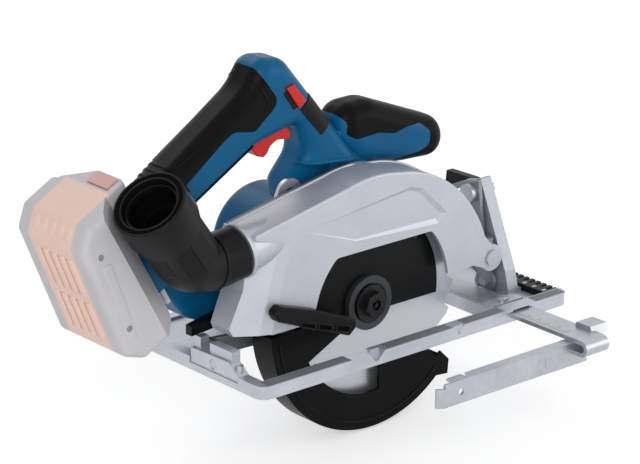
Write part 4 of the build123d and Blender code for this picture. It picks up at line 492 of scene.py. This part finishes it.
def arch(half, rise, square):
    """Profile of a strip: (half * cos^square, rise * sin^square) over half a turn, and a foot below it.

    It is round at square 1 and boxier below."""
    turn = np.linspace(0, np.pi, 11)
    over = np.stack([half * np.sign(np.cos(turn)) * np.abs(np.cos(turn)) ** square,
                     rise * np.abs(np.sin(turn)) ** square], 1)
    return np.concatenate([over, [[-half, -STRIP_FOOT], [half, -STRIP_FOOT]]])


def carried(path, across, normal, profile):
    """Profile carried along a path: path + across * u + normal * w for each (u, w) of the profile."""
    return path[:, None] + across[:, None] * profile[None, :, :1] + normal[:, None] * profile[None, :, 1:]


def ridge(path, normal, half, rise, square=1.0):
    """Strip that stands on a surface: an arch carried along a path, square to the path and the normal."""
    normal = np.broadcast_to(normal, path.shape)
    across = unit(np.cross(np.gradient(path, axis=0), normal))
    return carried(path, across, normal, arch(half, rise, square))


def ridges(starts, ends, normal, half, rise, square=0.35):
    """Straight strips from each start to its end, all with one arch, drawn in over half / 2 at both ends."""
    normal = unit(normal)
    ahead = unit(ends - starts)
    across = np.cross(ahead, normal)
    profile = arch(half, rise, square)
    drawn = ahead * half / 2
    stations = np.stack([starts, starts + drawn, ends - drawn, ends], 1)
    width = np.array([STRIP_END_WIDTH, 1.0, 1.0, STRIP_END_WIDTH])[:, None]
    height = np.array([STRIP_END_RISE, 1.0, 1.0, STRIP_END_RISE])[:, None]
    aside = profile[:, 0] * width
    lift = profile[:, 1] * np.where(profile[:, 1] > 0, height, 1.0)
    return stations[:, :, None] + across[:, None, None] * aside[..., None] + normal * lift[..., None]


def turned(profile, centre, axis, count=64):
    """Profile of (radius, height) rows turned about an axis: centre + spoke * radius + axis * height."""
    side = unit(np.cross(axis, [0.0, 1.0, 0.3]))
    other = np.cross(axis, side)
    angle = np.linspace(0, 2 * np.pi, count, endpoint=False)
    spoke = side * np.cos(angle)[:, None] + other * np.sin(angle)[:, None]
    profile = np.asarray(profile, float)
    return centre + spoke[:, None] * profile[None, :, :1] + axis * profile[None, :, 1:]


def round_lip(radius, height, thick):
    """Closed round profile of a turned lip: a circle of radius thick about (radius, height)."""
    return on_arc(np.array([radius, height]), thick, np.linspace(0, 2 * np.pi, 16, endpoint=False))


# Main handle


def rounded_outline(corners, samples=8):
    """Closed outline from (x, z, corner radius) rows: each corner is an arc that touches both sides."""
    rows = np.array(corners, float)
    corner, radius = rows[:, :2], rows[:, 2]
    before = unit(np.roll(corner, 1, 0) - corner)
    after = unit(np.roll(corner, -1, 0) - corner)
    half = np.arccos((before * after).sum(1)) / 2
    centre = corner + unit(before + after) * (radius / np.sin(half))[:, None]
    reach = (radius / np.tan(half))[:, None]
    share = np.linspace(0, 1, samples)[None, :, None]
    chord = (corner + before * reach)[:, None] * (1 - share) + (corner + after * reach)[:, None] * share
    arc = centre[:, None] + unit(chord - centre[:, None]) * radius[:, None, None]
    return arc.reshape(-1, 2)


def on_handle(points, side):
    """Points on the handle's near (-1) or far (+1) face, in X and Z.

    The face is flat, and within HANDLE_ROUND of the outline it falls away on a quarter round."""
    points = np.asarray(points, float)
    start = rounded_outline(HANDLE)
    along = np.roll(start, -1, 0) - start
    share = ((points[:, None] - start) * along).sum(2) / np.maximum((along ** 2).sum(1), 1e-9)
    foot = start + np.clip(share, 0, 1)[..., None] * along
    inside = np.minimum(np.linalg.norm(points[:, None] - foot, axis=2).min(1), HANDLE_ROUND)
    drop = HANDLE_ROUND - np.sqrt(HANDLE_ROUND ** 2 - (HANDLE_ROUND - inside) ** 2)
    return at_y(points, HANDLE_Y + side * (HANDLE_W / 2 - drop))


def grip_step(top_edge):
    """Step across the grip from its near face to its far face, square to its length.

    Its path climbs the side, rounds the quarter circle and crosses the top. It stands out from the middle of
    that path."""
    ahead = unit(GRIP_RUN)
    down = np.array([ahead[1], -ahead[0]])
    half, radius = HANDLE_W / 2, HANDLE_ROUND
    angle = np.linspace(0, np.pi / 2, 8)
    out = np.concatenate([[half, half], half - radius + radius * np.cos(angle)])
    low = np.concatenate([GRIP_STEP_DROPS, radius - radius * np.sin(angle)])
    side = np.concatenate([-out, out[::-1]])
    low = np.concatenate([low, low[::-1]])
    path = at_y(top_edge + down * low[:, None], HANDLE_Y + side)
    return ridge(path, unit(path - path.mean(0)), half=1.3, rise=0.7, square=0.6)


def wrapped_profile():
    """Profile of the strip that lies round the underside of the grip.

    Each of its two skins is a flat between two arcs about the edges' centres, up to the angle of the wrap."""
    turn = np.linspace(UNDERSIDE_WRAP, 0, 9)
    half_flat = HANDLE_W / 2 - HANDLE_ROUND

    def skin(radius):
        side = half_flat + radius * np.sin(turn)
        top = radius * np.cos(turn) - HANDLE_ROUND
        return np.stack([np.concatenate([-side, side[::-1]]), np.concatenate([top, top[::-1]])], 1)

    return np.concatenate([skin(HANDLE_ROUND + UNDERSIDE_RISE), skin(HANDLE_ROUND - UNDERSIDE_DEPTH)[::-1]])


# A fine raised line round the palm on both sides, and steps at the grip's lower end
for side, name in ((-1, "near"), (1, "far")):
    palm_line = on_handle(eased(PALM_LINE), side)
    mesh_piece(f"grip_line_{name}", ridge(palm_line, FAR * side, half=0.7, rise=0.45),
               soft_grip, "saw_body")
steps = [grip_step(GRIP_STEP_AT + GRIP_STEP_PITCH * k) for k in range(GRIP_STEP_COUNT)]
mesh_piece("grip_steps", steps, soft_grip, "saw_body")

# A black strip along the underside of the grip that wraps part of the way up both sides
ahead = unit(UNDERSIDE[1] - UNDERSIDE[0])
downward = np.array([ahead[1], 0.0, -ahead[0]])
underside = carried(at_y(UNDERSIDE, HANDLE_Y), np.tile(FAR, (2, 1)), np.tile(downward, (2, 1)),
                    wrapped_profile())
mesh_piece("grip_underside", underside, soft_grip, "saw_body")

# A black strip beside the lock-off button, painted shade for the recess there, and a rounded lip along the
# post's step above the guard
recess = on_handle(eased(LOCK_RECESS, rounds=4), -1)
mesh_piece("lock_recess_shade", ridge(recess, NEAR, half=1.9, rise=0.25, square=0.35),
           black_nylon, "saw_body")
mesh_piece("post_lip", ridge(on_handle(eased(STEP_LIP), -1), NEAR, half=1.2, rise=1.0),
           blue_nylon, "saw_body")

# Upper guard: a raised seam along its far top edge, painted shade on the edge behind the seam, and a setting
# mark
front_turn = np.radians(np.linspace(90, 14, 40))
front_centre = ARBOR + (GUARD_FRONT_SHIFT, -GUARD_FRONT_DROP)
guard_top = np.concatenate([CHUTE_TOP, [ARBOR + (0.0, GUARD_R)], on_arc(front_centre, GUARD_R, front_turn)])
guard_out = at_y(np.concatenate([CHUTE_TOP_OUT, [(0.0, 1.0)], on_arc(0.0, 1.0, front_turn)]), 0.0)
mesh_piece("guard_seam", ridge(at_y(guard_top, GUARD_SEAM_Y), guard_out, half=1.2, rise=1.0),
           silver_paint, "saw_body")
mesh_piece("guard_far_edge_shade", ridge(at_y(guard_top, GUARD_EDGE_Y), guard_out, half=1.5, rise=0.5, square=0.5),
           painted_shade_silver, "saw_body")
mark = [spots([GUARD_MARK_X], GUARD_NEAR_Y, z) for z in GUARD_MARK_Z]
mesh_piece("guard_mark", ridges(*mark, NEAR, half=0.5, rise=0.05), pale_ink, "saw_body")

# Dust chute: the rim that the elbow turns against
mesh_piece("chute_rim", turned(CHUTE_RIM, PIPE_ROOT, PIPE_DIR),
           silver_paint, "saw_body", ring=True)

# Dust elbow
bend_at = ELBOW_CORNER - ELBOW_BEND_R * math.tan(ELBOW_TURN / 2)
bend_centre = PIPE_ROOT + PIPE_DIR * bend_at + PIPE_RISE * ELBOW_BEND_R


def bend_out(turn):
    """Direction away from the bend's centre at a turn along it."""
    return PIPE_DIR * np.sin(turn) - PIPE_RISE * np.cos(turn)


def bend_on(turn):
    """Direction along the tube at a turn of the bend."""
    return PIPE_DIR * np.cos(turn) + PIPE_RISE * np.sin(turn)


def swung(points):
    """Points turned about the dust pipe's axis by the elbow's swing."""
    arm = points - PIPE_ROOT
    along = (arm @ PIPE_DIR)[..., None] * PIPE_DIR
    return (PIPE_ROOT + along + (arm - along) * math.cos(ELBOW_SWING)
            - np.cross(PIPE_DIR, arm) * math.sin(ELBOW_SWING))


def on_pipe(along, radius):
    """Circle on the pipe's axis, as centre, side direction and radius."""
    return PIPE_ROOT + PIPE_DIR * along, -PIPE_RISE, radius


def on_bend(turn, radius):
    """Circle on the bend's centre line."""
    return bend_centre + bend_out(turn) * ELBOW_BEND_R, bend_out(turn), radius


def on_leg(along, radius):
    """Circle on the leg's axis, counted from the corner of the bend."""
    return PIPE_ROOT + PIPE_DIR * ELBOW_CORNER + bend_on(ELBOW_TURN) * along, bend_out(ELBOW_TURN), radius


def elbow_rings(circles):
    """Rings of points from circles: centre + radius * (side * cos(angle) + near * sin(angle)), then swung."""
    centre, side, radius = (np.asarray(part, float) for part in zip(*circles))
    angle = np.linspace(0, 2 * np.pi, 96, endpoint=False)[None, :, None]
    spoke = side[:, None] * np.cos(angle) + NEAR * np.sin(angle)
    return swung(centre[:, None] + radius[:, None, None] * spoke)


def tube_radius(turn):
    """Cuff radius up to CUFF_TURN, then a smooth step up to the leg's radius at the end of the bend."""
    share = np.clip((turn - CUFF_TURN) / (ELBOW_TURN - CUFF_TURN), 0, 1)
    return CUFF_R + (ELBOW_R - CUFF_R) * share * share * (3 - 2 * share)


def bend_flat(turn_from, turn_to, edge_from, edge_to):
    """Flat on the outside of the bend, between two turns of the bend and two angles round the tube.

    Past the bend the tube runs on straight. The face is the chord at the tube's radius, so its long edges
    stand proud by radius / cos(half angle)."""
    turn = np.radians(np.linspace(turn_from, turn_to, 14))[:, None]
    held = np.minimum(turn, ELBOW_TURN)
    spine = bend_centre + (bend_out(held) + bend_on(held) * (turn - held)) * ELBOW_BEND_R
    edges = np.radians([edge_from, edge_to])
    proud = (ELBOW_R + FLAT_PROUD) / math.cos((edges[1] - edges[0]) / 2)
    sunk = ELBOW_R - FLAT_SINK
    corners = np.array([sunk, proud, proud, sunk])[:, None] * on_arc(0.0, 1.0, np.repeat(edges, 2))
    return swung(carried(spine, bend_out(held), np.tile(NEAR, (len(spine), 1)), corners))


# Tube: the outside from cuff to mouth, then back along the bore
turns = np.linspace(0, ELBOW_TURN, 25)
tube = [on_pipe(ELBOW_START, CUFF_R - ELBOW_EDGE), on_pipe(ELBOW_START + ELBOW_EDGE, CUFF_R)]
tube += [on_bend(turn, tube_radius(turn)) for turn in turns]
tube += [on_leg(MOUTH_FLARE[0], ELBOW_R), on_leg(MOUTH_FLARE[1], MOUTH_R)]
tube += [on_leg(ELBOW_LEG - ELBOW_EDGE, MOUTH_R), on_leg(ELBOW_LEG, MOUTH_R - ELBOW_EDGE)]
tube += [on_leg(ELBOW_LEG, MOUTH_BORE_R)]
tube += [on_leg(ELBOW_LEG - MOUTH_BORE_DEPTH, radius) for radius in (MOUTH_BORE_R, ELBOW_BORE_R)]
tube += [on_bend(turn, ELBOW_BORE_R) for turn in turns[::-1]]
tube += [on_pipe(ELBOW_START, ELBOW_BORE_R)]
elbow_tube = mesh_piece("elbow_tube", elbow_rings(tube), black_nylon, "elbow", ring=True)
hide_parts("dust_elbow")

# A round ring where the cuff ends
ring_turn = np.linspace(0, 2 * np.pi, 12, endpoint=False)
joint = [on_bend(CUFF_TURN + JOINT_RING_R * math.cos(turn) / ELBOW_BEND_R,
                 CUFF_R + JOINT_RING_R / 2 + JOINT_RING_R * math.sin(turn)) for turn in ring_turn]
mesh_piece("elbow_joint_ring", elbow_rings(joint), black_nylon, "elbow", ring=True)

# Mouth: two round lips, painted shade in the groove between them, and a step down in the bore
mouth, leg_top = swung(np.stack([on_leg(ELBOW_LEG + k, 0.0)[0] for k in (0.0, 1.0)]))
mouth_dir = leg_top - mouth
lips = [turned(round_lip(radius, -MOUTH_LIP_SINK, thick), mouth, mouth_dir) for radius, thick in MOUTH_LIPS]
mesh_piece("elbow_mouth_lips", lips, black_nylon, "elbow", ring=True)
mesh_piece("elbow_mouth_groove_shade", turned(MOUTH_GROOVE, mouth, mouth_dir),
           painted_shade_black, "elbow", ring=True)
mesh_piece("elbow_mouth_step", turned(MOUTH_STEP, mouth, mouth_dir),
           black_nylon, "elbow", ring=True)

# Flats moulded on the outside of the bend, with broken edges
elbow_flats = mesh_piece("elbow_flats", [bend_flat(*flat) for flat in ELBOW_FLATS], black_nylon, "elbow",
                         sharp=20)
edge = elbow_flats.modifiers.new("edge", "BEVEL")
edge.width = FLAT_EDGE * MM
edge.segments = 2

# Lower guard: a rib near its rim, plates of painted shade in the pockets of its lever, and a frame round each
# pocket
rib_path = at_y(on_arc(ARBOR, LOWER_RIB_R, np.radians(np.linspace(*LOWER_RIB_TURN, 60))), LOWER_GUARD_NEAR_Y)
mesh_piece("lower_guard_rib", ridge(rib_path, NEAR, half=1.0, rise=0.7),
           black_paint, "lower_guard")
pocket_ends = [at_y(POCKETS[:, pair].mean(1), POCKET_Y) for pair in ([0, 3], [1, 2])]
mesh_piece("lever_pocket_shade", ridges(*pocket_ends, NEAR, half=2.3, rise=0.3, square=0.2),
           painted_shade_black, "lower_guard")
pocket_sides = [at_y(corners.reshape(-1, 2), POCKET_Y) for corners in (POCKETS, np.roll(POCKETS, -1, 1))]
mesh_piece("lever_pocket_frames", ridges(*pocket_sides, NEAR, half=0.7, rise=0.8),
           black_nylon, "lower_guard")

# Base: ribbed tracks on the near rail, whose darker grey is painted shade, setting lines on its edge, printed
# marks on the sight strip
tracks = [spots(x[:, None], RAIL_TRACKS_Y, RAIL_TOP_Z).reshape(-1, 3) for x in RAIL_TRACKS_X.T]
mesh_piece("rail_tracks", ridges(*tracks, UP, half=0.75, rise=0.3), ribbed_aluminium_painted_shade, "base")
rail_lines = [spots(RAIL_LINES_X, RAIL_NEAR_Y, z) for z in RAIL_LINES_Z]
mesh_piece("rail_lines", ridges(*rail_lines, NEAR, half=0.35, rise=0.05), pale_ink, "base")
strip_marks = [spots(x, STRIP_MARKS_Y, STRIP_TOP_Z) for x in STRIP_MARKS_X]
mesh_piece("strip_marks", ridges(*strip_marks, UP, half=1.3, rise=0.08), pale_ink, "base")

# Parallel guide: a scale on its arm, and a tab bent from its fence
tick = np.where(np.arange(len(SCALE_Y)) % TICKS_PER_LONG == 0, LONG_TICK, TICK)
scale_lines = [spots(x, SCALE_Y, ARM_TOP_Z) for x in (SCALE_X, SCALE_X + tick)]
mesh_piece("guide_scale", ridges(*scale_lines, UP, half=0.22, rise=0.03), dark_ink, "guide")
tab = [spots([FENCE_TAB_X], FENCE_NEAR_Y, z) for z in FENCE_TAB_Z]
mesh_piece("fence_tab", ridges(*tab, NEAR, half=1.3, rise=0.5, square=0.8), zinc_plate, "guide")

# Battery


def on_slide(u, v, y):
    """Point of the battery's slide frame: x = u sin + v cos, z = v sin - u cos of the slide's slope."""
    u, v = np.asarray(u, float), np.asarray(v, float)
    return spots(u * math.sin(SLIDE) + v * math.cos(SLIDE), y, v * math.sin(SLIDE) - u * math.cos(SLIDE))


def rib_rows(y):
    """Starts and ends of strips along the panel in its two rows, one for each place y across it."""
    return [on_slide(u[:, None], PANEL_TOP[1] + (u[:, None] - PANEL_TOP[0]) * PANEL_SLOPE, y).reshape(-1, 3)
            for u in (RIB_FROM_U, RIB_TO_U)]


# Ribs on the copper panel in two rows, painted shade on the floor between them, and scallops over its
# shoulder
panel_out = on_slide(PANEL_SLOPE, -1.0, 0.0)
between = rib_rows(RIB_Y[:-1] + RIB_PITCH / 2)
mesh_piece("battery_rib_floor_shade", ridges(*between, panel_out, half=1.9, rise=0.06),
           shaded_pale_copper, "battery")
mesh_piece("battery_ribs", ridges(*rib_rows(RIB_Y), panel_out, half=2.7, rise=1.3, square=0.5),
           pale_copper, "battery")
scallops = [on_slide(*end, RIB_Y) for end in (SCALLOP_FROM, SCALLOP_TO)]
mesh_piece("battery_scallops", ridges(*scallops, on_slide(*SCALLOP_OUT, 0.0), half=3.6, rise=0.8, square=0.8),
           pale_copper, "battery")

# A long raised bar on the near side, and painted shade in the screw wells
side_bar = [on_slide(*end, [BATTERY_NEAR_Y]) for end in (SIDE_BAR_FROM, SIDE_BAR_TO)]
mesh_piece("battery_side_bar", ridges(*side_bar, NEAR, half=4.2, rise=SIDE_BAR_RISE, square=0.6),
           pale_grey, "battery")
wells = [on_slide(*SHELL_WELL, BATTERY_NEAR_Y), on_slide(*BAR_WELL, BATTERY_NEAR_Y - SIDE_BAR_RISE)]
mesh_piece("battery_screw_well_shade", [turned(WELL_PROFILE, well, NEAR, count=32) for well in wells],
           shaded_pale_grey, "battery", ring=True)


# Studio: white floor under the lower guard, white surroundings, one large soft key and two fills


def seen_share(tree):
    """1 for what the camera sees, straight, mirrored or through glass, and 0 for what lights the saw."""
    path = add(tree, "ShaderNodeLightPath")
    share = path.outputs["Is Camera Ray"]
    for ray in ("Is Glossy Ray", "Is Transmission Ray"):
        share = add(tree, "ShaderNodeMath", {0: share, 1: path.outputs[ray]}, operation="MAXIMUM").outputs[0]
    return share


def floor_face(tree, surface):
    """White floor that also shows as white, less the shadow on it.

    What is seen of it gets a glow of its own, which grows with the distance from the saw."""
    place = add(tree, "ShaderNodeTexCoord").outputs["Object"]
    away = add(tree, "ShaderNodeVectorMath", {0: place}, operation="LENGTH").outputs["Value"]
    glow = add(tree, "ShaderNodeMapRange", {
        "Value": away, "From Min": FLOOR_GLOW_AT[0], "From Max": FLOOR_GLOW_AT[1],
        "To Min": FLOOR_GLOW[0], "To Max": FLOOR_GLOW[1]}).outputs["Result"]
    lift = add(tree, "ShaderNodeMath", {0: seen_share(tree), 1: glow}, operation="MULTIPLY")
    tree.links.new(lift.outputs[0], surface.inputs["Emission Strength"])


bpy.ops.mesh.primitive_plane_add(size=FLOOR_SIZE, location=(0, 0, cad_box[0][2] - FLOOR_GAP))
floor = bpy.context.object
floor.name = "studio_floor"
# Matt white board: no shine, only the soft shadow
floor.data.materials.append(finish("studio_floor_white", {
    "Base Color": srgb("#f4f4f4"), "Roughness": 0.9, "Emission Color": srgb("#ffffff")}, floor_face))

world = bpy.data.worlds.new("studio_white")
scene.world = world
world.use_nodes = True
sky = world.node_tree
strength = add(sky, "ShaderNodeMapRange", {"Value": seen_share(sky), "To Min": SKY_LIGHT, "To Max": 1.0})
sky.nodes["Background"].inputs["Color"].default_value = srgb("#ffffff")
sky.links.new(strength.outputs["Result"], sky.nodes["Background"].inputs["Strength"])

for name, (place, size, watts) in LAMPS.items():
    glow = bpy.data.lights.new(f"studio_{name}", "AREA")
    glow.size = size
    glow.energy = watts
    lamp = bpy.data.objects.new(f"studio_{name}", glow)
    lamp.location = place
    aim = unit(np.array(place))
    lamp.rotation_euler = (math.acos(aim[2]), 0, math.atan2(aim[0], -aim[1]))
    scene.collection.objects.link(lamp)

# Camera at the photograph's view, from its azimuth, height angle and distance
right = np.array([math.cos(VIEW_AZIMUTH), math.sin(VIEW_AZIMUTH), 0.0])
level = np.array([math.sin(VIEW_AZIMUTH), -math.cos(VIEW_AZIMUTH), 0.0])
back = level * math.cos(VIEW_HEIGHT) + UP * math.sin(VIEW_HEIGHT)
lens = bpy.data.cameras.new("photo_camera")
lens.lens = VIEW_LENS
lens.sensor_width = 36.0
lens.clip_end = 50.0
camera = bpy.data.objects.new("photo_camera", lens)
camera.location = right * VIEW_ASIDE + np.cross(back, right) * VIEW_UP + back * VIEW_DISTANCE
camera.rotation_euler = (math.pi / 2 - VIEW_HEIGHT, 0, VIEW_AZIMUTH)
scene.collection.objects.link(camera)
scene.camera = camera

scene.view_settings.view_transform = "Standard"
